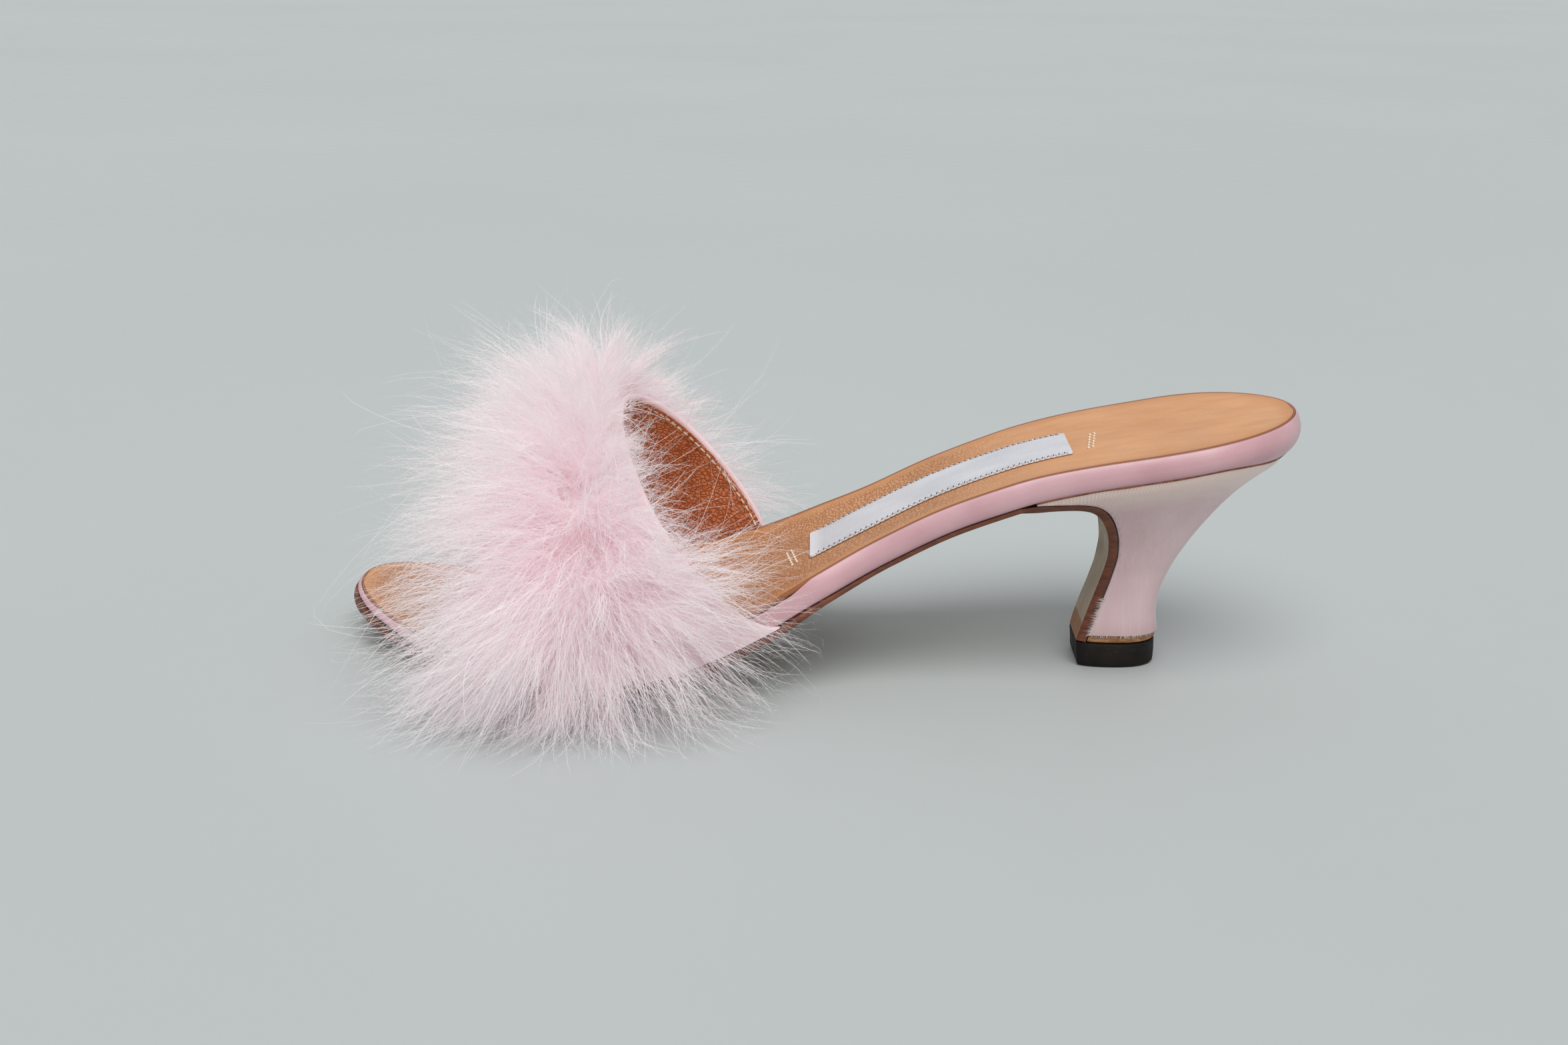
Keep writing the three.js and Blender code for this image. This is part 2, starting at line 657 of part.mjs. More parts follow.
// One lock of the boa: fan turns it from the rear (-1) to the front (1), dip from outward (0) to downward (1).
function boaLock(angle, fan, dip, length) {
  const spread = fan < 0 ? rearRootSpread : frontRootSpread;
  const root = boaAt + spread * fan * Math.cos(angle) ** 4;
  const { at, along, ahead, normal } = boaFrame(root, angle);
  const turn = fan * 1.3;
  const down = dip * (angle < Math.PI / 2 ? -1 : 1);
  const way = normal
    .clone()
    .multiplyScalar(Math.cos(turn) * (1 - 0.6 * dip) + 0.12)
    .addScaledVector(ahead, Math.sin(turn))
    .addScaledVector(along, down * Math.cos(turn))
    .normalize();
  return makeLock(at, way, length, 0.16 * length, lockRadius);
}

function makeMarabou() {
  const locks = range(lockCount).map((i) => {
    const angle = lerp(0.35, Math.PI - 0.35, (i + 0.5) / lockCount);
    const fan = lerp(-1, 1, (i * 0.618034) % 1) + 0.12 * (random(i) - 0.5);
    const outside = smooth((Math.cos(angle) + 0.1) / 0.9);
    const reach = 0.74 + 0.3 * outside + 0.5 * Math.max(0, fan) + 0.24 * (random(i + 80) - 0.5);
    const low = 1 - 0.18 * Math.sin(angle) ** 4;
    return boaLock(angle, fan, 0.45 * Math.cos(angle) ** 2, barbLength * reach * low);
  });
  const ends = range(2 * endLockCount).map((i) => {
    const angle = 0.2 + 0.2 * random(i + 7);
    const fan = lerp(-1.05, 1.05, (Math.floor(i / 2) + 0.5) / endLockCount);
    const length = barbLength * (0.92 + 0.2 * random(i + 11) + 0.1 * Math.max(0, fan));
    return boaLock(i % 2 ? Math.PI - angle : angle, fan, 0.35 + 0.35 * random(i + 3), length);
  });
  const solid = [...locks, ...ends].reduce((sum, lock) => sum.add(toManifold(lock)), toManifold(makeCore()));
  const room = bandShell(-2 * bandWall, 3 * bandWall + clearance, [-0.06, ...bandShares, 1.06]);
  return fromManifold(solid.subtract(toManifold(room)));
}

const finish = {
  outsole: { color: 0x5a3322, roughness: 0.6, metalness: 0 },
  insole: { color: 0xd9a3ab, roughness: 0.35, metalness: 0 },
  sock: { color: 0xc58b57, roughness: 0.5, metalness: 0 },
  label: { color: 0xd5d9de, roughness: 0.35, metalness: 0 },
  heel: { color: 0xe0c2c2, roughness: 0.5, metalness: 0 },
  leather_lift: { color: 0xa8774a, roughness: 0.8, metalness: 0 },
  top_piece: { color: 0x241e1b, roughness: 0.6, metalness: 0 },
  upper: { color: 0xefc4cb, roughness: 0.4, metalness: 0 },
  marabou: { color: 0xf3d3dc, roughness: 0.9, metalness: 0 },
};
const makers = {
  outsole: makeOutsole,
  insole: makeInsole,
  sock: makeSock,
  label: makeLabel,
  heel: makeHeel,
  leather_lift: makeLift,
  top_piece: makeTopPiece,
  upper: makeUpper,
  marabou: makeMarabou,
};

const shoe = new THREE.Group();
for (const [name, make] of Object.entries(makers)) {
  const mesh = new THREE.Mesh(make(), new THREE.MeshStandardMaterial(finish[name]));
  mesh.name = name;
  shoe.add(mesh);
}
shoe.position.set(-(topPieceBack + topPieceLength / 2), -footSideShift, 0);

const part = new THREE.Group();
part.name = 'marabou_slipper';
part.add(shoe);

export default part;
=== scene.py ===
"""The looks of a left marabou mule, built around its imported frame.

Lengths are millimetres until a mesh is made.
"""
import math

import bmesh
import bpy
import numpy as np
from mathutils import Matrix, Vector


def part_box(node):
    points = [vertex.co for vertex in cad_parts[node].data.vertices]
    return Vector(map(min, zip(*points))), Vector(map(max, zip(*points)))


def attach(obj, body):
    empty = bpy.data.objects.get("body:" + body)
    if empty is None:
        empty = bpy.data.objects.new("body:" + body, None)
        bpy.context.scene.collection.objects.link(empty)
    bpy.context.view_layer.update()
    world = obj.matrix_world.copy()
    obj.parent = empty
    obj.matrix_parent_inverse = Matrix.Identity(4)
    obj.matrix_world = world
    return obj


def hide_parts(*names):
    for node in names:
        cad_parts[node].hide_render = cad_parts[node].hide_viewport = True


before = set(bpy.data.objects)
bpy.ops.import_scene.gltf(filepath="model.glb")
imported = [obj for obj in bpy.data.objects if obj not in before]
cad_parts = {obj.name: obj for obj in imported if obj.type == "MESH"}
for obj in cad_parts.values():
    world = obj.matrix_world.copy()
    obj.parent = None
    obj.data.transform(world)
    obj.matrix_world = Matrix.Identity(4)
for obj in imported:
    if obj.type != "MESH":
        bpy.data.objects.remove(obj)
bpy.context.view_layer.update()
MM = 0.001
WELD_DISTANCE, SHORTEST_EDGE = 2e-6, 1e-7
WAVES = 6
SEEN_THROUGH = 0.42
PHOTO_WIDTH = 2352
rng = np.random.default_rng(7)

# The camera, fitted to the outlines of the shoe
CAMERA_AT = (76.75, 488.4, 178.5)
CAMERA_FOCAL = 3079
CAMERA_YAW, CAMERA_PITCH, CAMERA_ROLL = (math.radians(a) for a in (0.77, 16.51, 0.71))
SENSOR = 36


def place_camera():
    forward = Vector((
        math.sin(CAMERA_YAW) * math.cos(CAMERA_PITCH),
        -math.cos(CAMERA_YAW) * math.cos(CAMERA_PITCH),
        -math.sin(CAMERA_PITCH),
    ))
    level = forward.cross(Vector((0, 0, 1))).normalized()
    upright = level.cross(forward)
    c, s = math.cos(CAMERA_ROLL), math.sin(CAMERA_ROLL)
    right, up = level * c + upright * s, upright * c - level * s
    data = bpy.data.cameras.new("camera")
    data.sensor_width = SENSOR
    data.lens = CAMERA_FOCAL / PHOTO_WIDTH * SENSOR
    data.clip_start, data.clip_end = 0.01, 100
    camera = bpy.data.objects.new("camera", data)
    turned = Matrix((right, up, -forward)).transposed().to_4x4()
    camera.matrix_world = Matrix.Translation(Vector(CAMERA_AT) * MM) @ turned
    bpy.context.collection.objects.link(camera)
    bpy.context.scene.camera = camera


place_camera()

# Sizes of the last, its layers, the heel and the band
SOLE_LENGTH, BALL_WIDTH, HEEL_HEIGHT = 235, 75.8, 65
TOE_SPRING, MEDIAL_RISE = 7.6, 4
SOLE_THICKNESS, WAIST_THICKNESS = 3.2, 2.2
RIM_DEPTH, TOE_RIM_DEPTH, RIM_BULGE, RIM_LIP = 5.9, 2.1, 1.2, 1.17
SEAT_WRAP, SEAT_TUCK, SEAT_DISH = 3, 2.6, 0.7
SOCK_THICKNESS, CLEARANCE = 1, 0.3
TOP_PIECE_HEIGHT, TOP_PIECE_LENGTH, TOP_PIECE_WIDTH, TOP_PIECE_BACK = 6.2, 19.7, 17.4, 31.9
LIFT_THICKNESS, SOLE_PARTING_AT, WEDGE_TIP_AT = 1.5, 68.8, 65
BAND_WALL, BAND_EASE, INSTEP_HEIGHT = 1.8, 0.3, 62.5
BAND_REAR_OUTSIDE, BAND_REAR_INSIDE, BAND_REAR_TOP = 125.2, 129, 165
BAND_FRONT_OUTSIDE, BAND_FRONT_INSIDE, BAND_FRONT_TOP = 193.5, 199.5, 201.5
BOA_AT, BOA_PILE = 172.5, 11
CORE_MARGIN, SKIRT_RISE, SKIRT_SPREAD = 0.05, 0.75, 1.4
LABEL_FROM, LABEL_LENGTH, LABEL_WIDTH, LABEL_THICKNESS = 54, 60, 19, 0.5
WRAP_LENGTH, BULGE_FADE, BULGE_GAP = 24, 9, 5
WARP_PITCH, WEFT_PITCH = 0.42, 0.3
FOOT_SIDE_SHIFT = -0.03 * TOP_PIECE_WIDTH
TO_ROW = np.array([-(TOP_PIECE_BACK + TOP_PIECE_LENGTH / 2), -FOOT_SIDE_SHIFT, 0])

# Shares of those sizes from the heel tip (0) to the toe tip (1):
# along, pitch, spring, half width, centre, medial rise, rim depth, sole thickness
LAST = np.array([
    (0.00, 1.000, 0.00, 0.718, -0.038, 0.00, 1.00, 0.00),
    (0.08, 0.950, 0.00, 0.739, -0.034, 0.00, 1.00, 0.00),
    (0.15, 0.898, 0.00, 0.741, -0.028, 0.00, 1.00, 0.00),
    (0.22, 0.845, 0.00, 0.716, -0.021, 0.00, 1.00, 0.00),
    (0.27, 0.794, 0.00, 0.681, -0.015, 0.02, 1.00, 0.00),
    (0.31, 0.737, 0.00, 0.657, -0.007, 0.06, 1.00, 0.00),
    (0.36, 0.652, 0.00, 0.623, 0.003, 0.18, 1.00, 0.00),
    (0.42, 0.522, 0.00, 0.602, 0.014, 0.38, 1.00, 0.00),
    (0.48, 0.379, 0.00, 0.675, 0.015, 0.62, 1.00, 0.25),
    (0.54, 0.231, 0.00, 0.786, 0.007, 0.86, 0.96, 0.60),
    (0.60, 0.116, 0.00, 0.899, -0.004, 1.00, 0.90, 0.97),
    (0.66, 0.045, 0.00, 0.992, -0.016, 0.92, 0.80, 1.00),
    (0.73, 0.000, 0.00, 0.990, -0.029, 0.55, 0.66, 1.00),
    (0.81, 0.000, 0.00, 0.930, -0.050, 0.12, 0.46, 1.00),
    (0.86, 0.000, 0.19, 0.855, -0.075, 0.00, 0.32, 1.00),
    (0.90, 0.000, 0.38, 0.785, -0.104, 0.00, 0.21, 1.00),
    (0.95, 0.000, 0.70, 0.733, -0.158, 0.00, 0.10, 1.00),
    (1.00, 0.000, 1.00, 0.707, -0.226, 0.00, 0.00, 1.00),
])
# How far the heel keeps the seat's outline: depth, back, side
HEEL_FLARE = np.array([
    (0.00, 1.00, 1.00), (0.05, 0.93, 0.93), (0.10, 0.82, 0.79), (0.18, 0.66, 0.56), (0.26, 0.53, 0.38),
    (0.34, 0.42, 0.25), (0.42, 0.32, 0.14), (0.50, 0.23, 0.06), (0.59, 0.14, 0.00), (0.68, 0.07, -0.04),
    (0.77, 0.02, -0.04), (0.88, 0.00, -0.02), (1.00, 0.02, 0.00),
])
# The sole's lower face from the waist down the heel's breast: forward, up
BREAST = np.array([
    (1.255, 0.998), (1.165, 1.000), (1.075, 0.995), (1.010, 0.975), (0.962, 0.930), (0.926, 0.860),
    (0.902, 0.780), (0.889, 0.700), (0.886, 0.620), (0.902, 0.490), (0.930, 0.357), (0.962, 0.225),
    (0.986, 0.120), (1.000, 0.050), (1.010, 0.000),
])
# The ridge of the band over the foot: along, height
INSTEP = np.array([
    (0.50, 1.260), (0.54, 1.190), (0.62, 1.105), (0.70, 1.000), (0.77, 0.865), (0.835, 0.740), (0.90, 0.620),
])
# The rim's rounded side from the sole to its lip round the sock: up, out
RIM = np.array([
    (0.00, 0.40), (0.06, 0.72), (0.20, 1.02), (0.40, 1.15), (0.58, 1.10), (0.74, 0.90), (0.87, 0.64),
    (0.95, 0.42), (1.00, 0.22),
])


def lerp(a, b, t):
    return a + (b - a) * t


def smooth(t):
    t = np.clip(t, 0, 1)
    return t * t * (3 - 2 * t)


def unit(v):
    return v / np.maximum(np.linalg.norm(v, axis=-1, keepdims=True), 1e-9)


def column(x, y):
    """A smooth curve through the points that never overshoots between them."""
    gap = np.diff(x)
    slope = np.diff(y) / gap
    tangent = np.r_[slope[0], np.zeros(len(x) - 2), slope[-1]]
    for i in range(1, len(x) - 1):
        before, after = slope[i - 1], slope[i]
        if before * after > 0:
            w0, w1 = gap[i], gap[i - 1]
            tangent[i] = 3 * (w0 + w1) / ((2 * w1 + w0) / after + (w1 + 2 * w0) / before)

    def at(value):
        v = np.clip(value, x[0], x[-1])
        i = np.clip(np.searchsorted(x, v, side="right") - 1, 0, len(x) - 2)
        h = x[i + 1] - x[i]
        t = (v - x[i]) / h
        keep = 2 * t**3 - 3 * t**2 + 1
        lean, end = t**3 - 2 * t**2 + t, t**3 - t**2
        return keep * y[i] + lean * h * tangent[i] + (1 - keep) * y[i + 1] + end * h * tangent[i + 1]

    return at


pitch, spring, half_width, centre, rise, rim_share, sole_share = (
    column(LAST[:, 0], LAST[:, k]) for k in range(1, 8)
)
flare_back, flare_side = (column(HEEL_FLARE[:, 0], HEEL_FLARE[:, k]) for k in (1, 2))
ridge = column(INSTEP[:, 0], INSTEP[:, 1])
rim_profile = column(RIM[:, 0], RIM[:, 1])

HEEL_RISE = HEEL_HEIGHT - (WAIST_THICKNESS + CLEARANCE + RIM_DEPTH)
TIP_ROUND = 0.4 * BALL_WIDTH


def sole_at(x):
    return lerp(WAIST_THICKNESS, SOLE_THICKNESS, sole_share(x / SOLE_LENGTH))


def rim_at(x):
    return lerp(TOE_RIM_DEPTH, RIM_DEPTH, rim_share(x / SOLE_LENGTH))


def stack_at(x):
    return sole_at(x) + CLEARANCE + rim_at(x)


def sole_line(x):
    return pitch(x / SOLE_LENGTH) * HEEL_RISE + spring(x / SOLE_LENGTH) * TOE_SPRING


def sole_slope(x):
    near = np.clip(x, 0.5, SOLE_LENGTH - 0.5)
    return sole_line(near + 0.5) - sole_line(near - 0.5)


def tip_cap(x):
    inside = np.clip(np.minimum(x, SOLE_LENGTH - x) / TIP_ROUND, 0, 1)
    return np.sqrt(np.maximum(1 - (1 - inside) ** 2, 0))


def last_point(x, side, up, out):
    """A point of a layer: side -1 is the inside of the foot, up is from the sole, out is beyond the sock."""
    x, side, up, out = np.broadcast_arrays(*(np.asarray(v, float) for v in (x, side, up, out)))
    share = x / SOLE_LENGTH
    station = -out + x * (1 + 2 * out / SOLE_LENGTH)
    half = (half_width(share) * BALL_WIDTH / 2 + out) * tip_cap(x)
    lift = MEDIAL_RISE * rise(share) * np.clip((-side - 0.4) / 0.6, 0, 1) ** 1.5
    slope = sole_slope(x)
    size = np.sqrt(1 + slope**2)
    nx, nz = -slope / size, 1 / size
    overhang = station - np.clip(station, 0, SOLE_LENGTH)
    return np.stack([
        station + up * nx,
        centre(share) * BALL_WIDTH + side * half,
        sole_line(station) - overhang * nx / nz + up * nz + lift,
    ], -1)


def dish_at(x, side):
    return SEAT_DISH * (1 - side**2) * tip_cap(x)


def wrap_share(x):
    return 1 - smooth(x / WRAP_LENGTH)


def rim_out(x):
    behind = smooth((BAND_REAR_OUTSIDE - BULGE_GAP - x) / BULGE_FADE)
    ahead = smooth((x - BAND_FRONT_INSIDE - BULGE_GAP) / BULGE_FADE)
    return RIM_BULGE * np.maximum(behind, ahead) * np.sqrt(rim_at(x) / RIM_DEPTH)


def stations(tip, body):
    near = TIP_ROUND * (1 - np.cos(np.linspace(0, np.pi / 2, tip + 1)))[:-1]
    middle = np.linspace(TIP_ROUND, SOLE_LENGTH - TIP_ROUND, body)
    return np.r_[near, middle, (SOLE_LENGTH - near)[::-1]]


def spread(values, count):
    """A table's rows on a finer, even run of count places."""
    places = np.linspace(0, 1, len(values))
    at = [column(places, values[:, k]) for k in range(values.shape[1])]
    return np.stack([f(np.linspace(0, 1, count)) for f in at], -1)


def wobble(points, scale, seed):
    """Smooth unevenness from -1 to 1 at each point, for hand-cut and worn edges."""
    local = np.random.default_rng(seed)
    total = np.zeros(points.shape[:-1])
    for _ in range(WAVES):
        way = unit(local.normal(size=3))
        rate = local.uniform(0.6, 1.6) * 2 * np.pi / scale
        total += np.sin(points @ way * rate + local.uniform(0, 6.3))
    return total / WAVES


# Meshes


def grid_faces(rows, cols, closed, start=0):
    r, c = np.meshgrid(np.arange(rows - 1), np.arange(cols if closed else cols - 1), indexing="ij")
    d = (c + 1) % cols
    corners = [r * cols + c, r * cols + d, (r + 1) * cols + d, (r + 1) * cols + c]
    return np.stack(corners, -1).reshape(-1, 4) + start


def ladder(first, size, flip):
    """Faces that close one flat ring of points whose halves run side by side."""
    faces = []
    for i in range((size - 1) // 2):
        a, b, c, d = first + i, first + i + 1, first + size - 2 - i, first + size - 1 - i
        faces.append((a, d, c, b) if flip else (a, b, c, d))
    return faces


def ladders(rows, cols):
    return ladder(0, cols, True) + ladder((rows - 1) * cols, cols, False)


def end_caps(first, last, count):
    """Faces that close the first and the last ring of a round tube."""
    return [tuple(range(first, first + count))[::-1], tuple(range(last, last + count))]


def circle(across, over, count):
    """Places round a unit circle that two directions span."""
    turn = np.arange(count)[:, None] * 2 * np.pi / count
    return np.cos(turn) * across[..., None, :] + np.sin(turn) * over[..., None, :]


def make_object(
    name, points, faces, materials, values=None, slots_of_faces=None, sharp=None, weld=True
):
    """A smooth mesh on the shoe's body, from points in the shoe's own millimetres."""
    mesh = bpy.data.meshes.new(name)
    points = np.asarray(points, float).reshape(-1, 3)
    mesh.from_pydata((points + TO_ROW) * MM, [], faces if isinstance(faces, list) else faces.tolist())
    for key, value in (values or {}).items():
        layer = mesh.attributes.new(key, "FLOAT", "POINT")
        layer.data.foreach_set("value", np.asarray(value, np.float32).ravel())
    for material in materials:
        mesh.materials.append(material)
    if slots_of_faces is not None:
        mesh.polygons.foreach_set("material_index", np.asarray(slots_of_faces, np.int32).ravel())
    if weld:
        work = bmesh.new()
        work.from_mesh(mesh)
        bmesh.ops.remove_doubles(work, verts=work.verts, dist=WELD_DISTANCE)
        bmesh.ops.dissolve_degenerate(work, edges=work.edges, dist=SHORTEST_EDGE)
        bmesh.ops.recalc_face_normals(work, faces=work.faces)
        work.to_mesh(mesh)
        work.free()
    mesh.shade_smooth()
    if sharp:
        mesh.set_sharp_from_angle(angle=math.radians(sharp))
    made = bpy.data.objects.new(name, mesh)
    bpy.context.collection.objects.link(made)
    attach(made, "root")
    return made


# Materials. Their colours are given as the photograph says them, 0 to 255.


def tone(r, g, b):
    return tuple(v / 3294.6 if v <= 10 else ((v / 255 + 0.055) / 1.055) ** 2.4 for v in (r, g, b)) + (1,)


class Finish:
    """A node material, built up from its shader backwards."""

    def __init__(self, name, **sockets):
        self.material = bpy.data.materials.new(name)
        self.material.use_nodes = True
        self.tree = self.material.node_tree
        self.shader = self.tree.nodes["Principled BSDF"]
        for key, value in sockets.items():
            self.shader.inputs[key.replace("_", " ")].default_value = value
        self.place = self.node("TexCoord").outputs["Object"]

    def node(self, kind, sockets=None, **props):
        made = self.tree.nodes.new("ShaderNode" + kind)
        for key, value in props.items():
            setattr(made, key, value)
        for key, value in (sockets or {}).items():
            socket = made.inputs[key]
            if isinstance(value, bpy.types.NodeSocket):
                self.tree.links.new(value, socket)
            else:
                socket.default_value = value
        return made

    def set(self, key, value):
        self.tree.links.new(value, self.shader.inputs[key])

    def value(self, name):
        return self.node("Attribute", attribute_name=name).outputs["Fac"]

    def stretched(self, *scale):
        return self.node("Mapping", {"Vector": self.place, "Scale": scale}).outputs["Vector"]

    def noise(self, scale, detail=3, rough=0.5, at=None):
        sockets = {"Vector": at or self.place, "Scale": scale, "Detail": detail, "Roughness": rough}
        return self.node("TexNoise", sockets).outputs["Fac"]

    def cells(self, scale, at=None):
        sockets = {"Vector": at or self.place, "Scale": scale, "Randomness": 1.0}
        return self.node("TexVoronoi", sockets, feature="DISTANCE_TO_EDGE").outputs["Distance"]

    def ramp(self, value, *stops, ease="LINEAR"):
        made = self.node("ValToRGB", {"Fac": value})
        made.color_ramp.interpolation = ease
        marks = made.color_ramp.elements
        for i, (where, shade) in enumerate(stops):
            mark = marks[i] if i < 2 else marks.new(where)
            mark.position = where
            mark.color = shade if isinstance(shade, tuple) else (shade, shade, shade, 1)
        return made.outputs["Color"]

    def between(self, value, low, high):
        """0 where the value is below low, 1 where it is above high."""
        return self.ramp(value, (low, 0.0), (high, 1.0))

    def math(self, operation, a, b=0.0, clamp=False):
        return self.node("Math", {0: a, 1: b}, operation=operation, use_clamp=clamp).outputs[0]

    def times(self, a, b, clamp=False):
        return self.math("MULTIPLY", a, b, clamp)

    def plus(self, a, b, clamp=False):
        return self.math("ADD", a, b, clamp)

    def left(self, value):
        """What is left of 1."""
        return self.math("SUBTRACT", 1.0, value)

    def wave(self, value, pitch_mm):
        return self.math("SINE", self.times(value, 2 * math.pi / pitch_mm))

    def mix(self, factor, a, b):
        return self.node("Mix", {0: factor, 6: a, 7: b}, data_type="RGBA").outputs[2]

    def grade(self, value, low, high, first, second):
        """One colour where the value is below low, turning to the second at high."""
        return self.mix(self.between(value, low, high), tone(*first), tone(*second))

    def tint(self, base, where, colour, share=1.0):
        return self.mix(self.times(where, share), base, tone(*colour))

    def rough(self, value, smoothest, roughest, until=0.7):
        self.set("Roughness", self.ramp(value, (0.3, smoothest), (until, roughest)))

    def relief(self, *layers):
        """Bumps over each other as (height, depth in mm, strength), the coarsest first."""
        normal = None
        for height, depth_mm, strength in layers:
            sockets = {"Height": height, "Distance": depth_mm * MM, "Strength": strength}
            if normal:
                sockets["Normal"] = normal
            normal = self.node("Bump", sockets).outputs["Normal"]
        self.set("Normal", normal)


def sock_leather():
    f = Finish("tan_sock_leather", Specular_IOR_Level=0.42)
    border, burnish, seat = f.value("border"), f.value("burnish"), f.value("seat")
    base = f.grade(f.noise(38, 3), 0.35, 0.68, (224, 166, 117), (208, 149, 102))
    streak = f.between(f.noise(300, 3, at=f.stretched(0.25, 1, 1)), 0.4, 0.7)
    base = f.tint(base, streak, (196, 133, 82), 0.35)
    pits = f.between(f.cells(1050), 0.0, 0.2)
    shown = f.times(f.left(seat), f.left(border), clamp=True)
    base = f.tint(base, f.times(f.left(pits), shown), (150, 88, 50), 0.75)
    base = f.tint(base, border, (187, 122, 68), 0.45)
    base = f.tint(base, f.between(f.noise(900, 2), 0.66, 0.74), (160, 96, 52), 0.18)
    f.set("Base Color", f.tint(base, burnish, (122, 62, 32)))
    f.rough(f.plus(f.noise(120, 2), f.times(seat, -0.12)), 0.36, 0.56, until=0.75)
    deep = f.times(pits, f.plus(f.times(shown, 0.85), 0.15))
    f.relief((deep, 0.16, 0.95), (f.between(f.cells(2300), 0.0, 0.3), 0.03, 0.5))
    return f.material


def kid_leather(name, light, dark):
    f = Finish(name, Coat_Weight=0.25, Coat_Roughness=0.28)
    base = f.grade(f.noise(55, 3), 0.32, 0.7, light, dark)
    mark = f.between(f.noise(420, 4, 0.6), 0.62, 0.78)
    f.set("Base Color", f.tint(base, mark, (196, 138, 140), 0.22))
    f.rough(f.noise(240, 3), 0.3, 0.44)
    pores = f.between(f.cells(2400), 0.0, 0.25)
    f.relief((f.noise(420, 2), 0.09, 0.5), (pores, 0.02, 0.45))
    return f.material


def sole_edge_leather():
    f = Finish("sole_edge_leather")
    fibre = f.noise(900, 5, 0.65, at=f.stretched(0.22, 0.22, 1))
    layers = f.noise(1700, 3, 0.6, at=f.stretched(0.06, 0.06, 1))
    base = f.grade(fibre, 0.3, 0.72, (78, 40, 25), (132, 72, 45))
    base = f.tint(base, f.between(layers, 0.5, 0.62), (84, 42, 28), 0.45)
    rub = f.between(f.noise(160, 4, 0.7), 0.6, 0.72)
    f.set("Base Color", f.tint(base, rub, (146, 92, 62), 0.4))
    f.rough(f.noise(420, 3), 0.42, 0.7)
    f.relief((layers, 0.06, 0.6), (fibre, 0.12, 0.8))
    return f.material


def sole_face_leather():
    f = Finish("painted_sole_leather")
    base = f.grade(f.noise(60, 4, 0.6), 0.35, 0.7, (184, 164, 138), (160, 138, 112))
    scuff = f.between(f.noise(420, 5, 0.7, at=f.stretched(0.3, 1, 1)), 0.56, 0.7)
    walked = f.plus(f.times(f.value("ground"), 0.7), 0.15)
    base = f.tint(base, f.times(scuff, walked), (120, 88, 62))
    bare = f.between(f.plus(f.value("flap"), f.times(f.noise(300, 3), 0.25)), 0.55, 0.68)
    f.set("Base Color", f.tint(base, bare, (156, 104, 62)))
    f.rough(f.noise(200, 3), 0.42, 0.66)
    f.relief((scuff, 0.05, 0.4), (f.noise(1300, 4, 0.6), 0.06, 0.6))
    return f.material


def heel_satin():
    f = Finish("pale_pink_satin", Sheen_Weight=0.25, Sheen_Roughness=0.35)
    moire = f.noise(75, 3, at=f.stretched(1, 1, 0.22))
    base = f.grade(moire, 0.35, 0.66, (230, 204, 206), (217, 186, 190))
    blotch = f.times(f.math("SUBTRACT", f.noise(45, 3), 0.5), 0.5)
    base = f.tint(base, f.plus(f.value("seam"), blotch, clamp=True), (248, 224, 212))
    base = f.tint(base, f.between(f.noise(95, 4, 0.6), 0.6, 0.74), (206, 186, 178), 0.25)
    base = f.tint(base, f.value("low"), (192, 158, 157), 0.7)
    warp = f.wave(f.plus(f.value("turn"), f.times(f.noise(130, 3), 0.56)), WARP_PITCH)
    weft = f.wave(f.value("height"), WEFT_PITCH)
    slub = f.between(f.noise(1500, 3, at=f.stretched(1, 1, 0.05)), 0.45, 0.75)
    base = f.tint(base, f.plus(f.times(warp, 0.5), 0.5), (204, 170, 174), 0.32)
    f.set("Base Color", f.tint(base, slub, (248, 232, 230), 0.14))
    f.rough(moire, 0.4, 0.54)
    weave = f.plus(f.times(warp, 0.5), f.times(weft, 0.18))
    f.relief((slub, 0.05, 0.4), (weave, 0.045, 0.55))
    return f.material


def lining_leather():
    f = Finish("tan_lining_leather")
    cells = f.cells(820, at=f.stretched(1, 0.8, 1.25))
    base = f.grade(f.noise(70, 3), 0.3, 0.7, (238, 150, 97), (216, 126, 79))
    crease = f.ramp(cells, (0.0, 1.0), (0.16, 0.0))
    base = f.tint(base, crease, (112, 50, 28), 0.75)
    f.set("Base Color", f.tint(base, f.between(cells, 0.25, 0.5), (226, 146, 96), 0.35))
    f.rough(f.noise(300, 3), 0.34, 0.52)
    grain = f.ramp(cells, (0.0, 0.0), (0.25, 1.0), ease="EASE")
    f.relief((grain, 0.16, 0.9), (f.between(f.cells(1900), 0.0, 0.3), 0.04, 0.5))
    return f.material


def lift_leather():
    f = Finish("raw_lift_leather")
    fibre = f.noise(1100, 5, 0.7, at=f.stretched(0.3, 0.3, 1))
    base = f.grade(fibre, 0.3, 0.7, (120, 76, 46), (190, 138, 92))
    spots = f.ramp(f.noise(260, 4), (0.55, 0.0), (0.7, 0.7))
    f.set("Base Color", f.tint(base, spots, (88, 52, 34)))
    f.rough(f.noise(400, 2), 0.7, 0.92)
    f.relief((fibre, 0.22, 0.9))
    return f.material


def top_piece_rubber():
    f = Finish("worn_top_piece_rubber", Specular_IOR_Level=0.22)
    base = f.grade(f.noise(150, 4), 0.35, 0.7, (17, 14, 12), (32, 26, 23))
    dust = f.between(f.noise(520, 5, 0.7), 0.58, 0.74)
    f.set("Base Color", f.tint(base, dust, (104, 90, 80), 0.13))
    f.rough(f.noise(330, 4), 0.46, 0.72)
    f.relief((f.noise(240, 3), 0.12, 0.5), (f.noise(900, 5, 0.65), 0.1, 0.7))
    return f.material


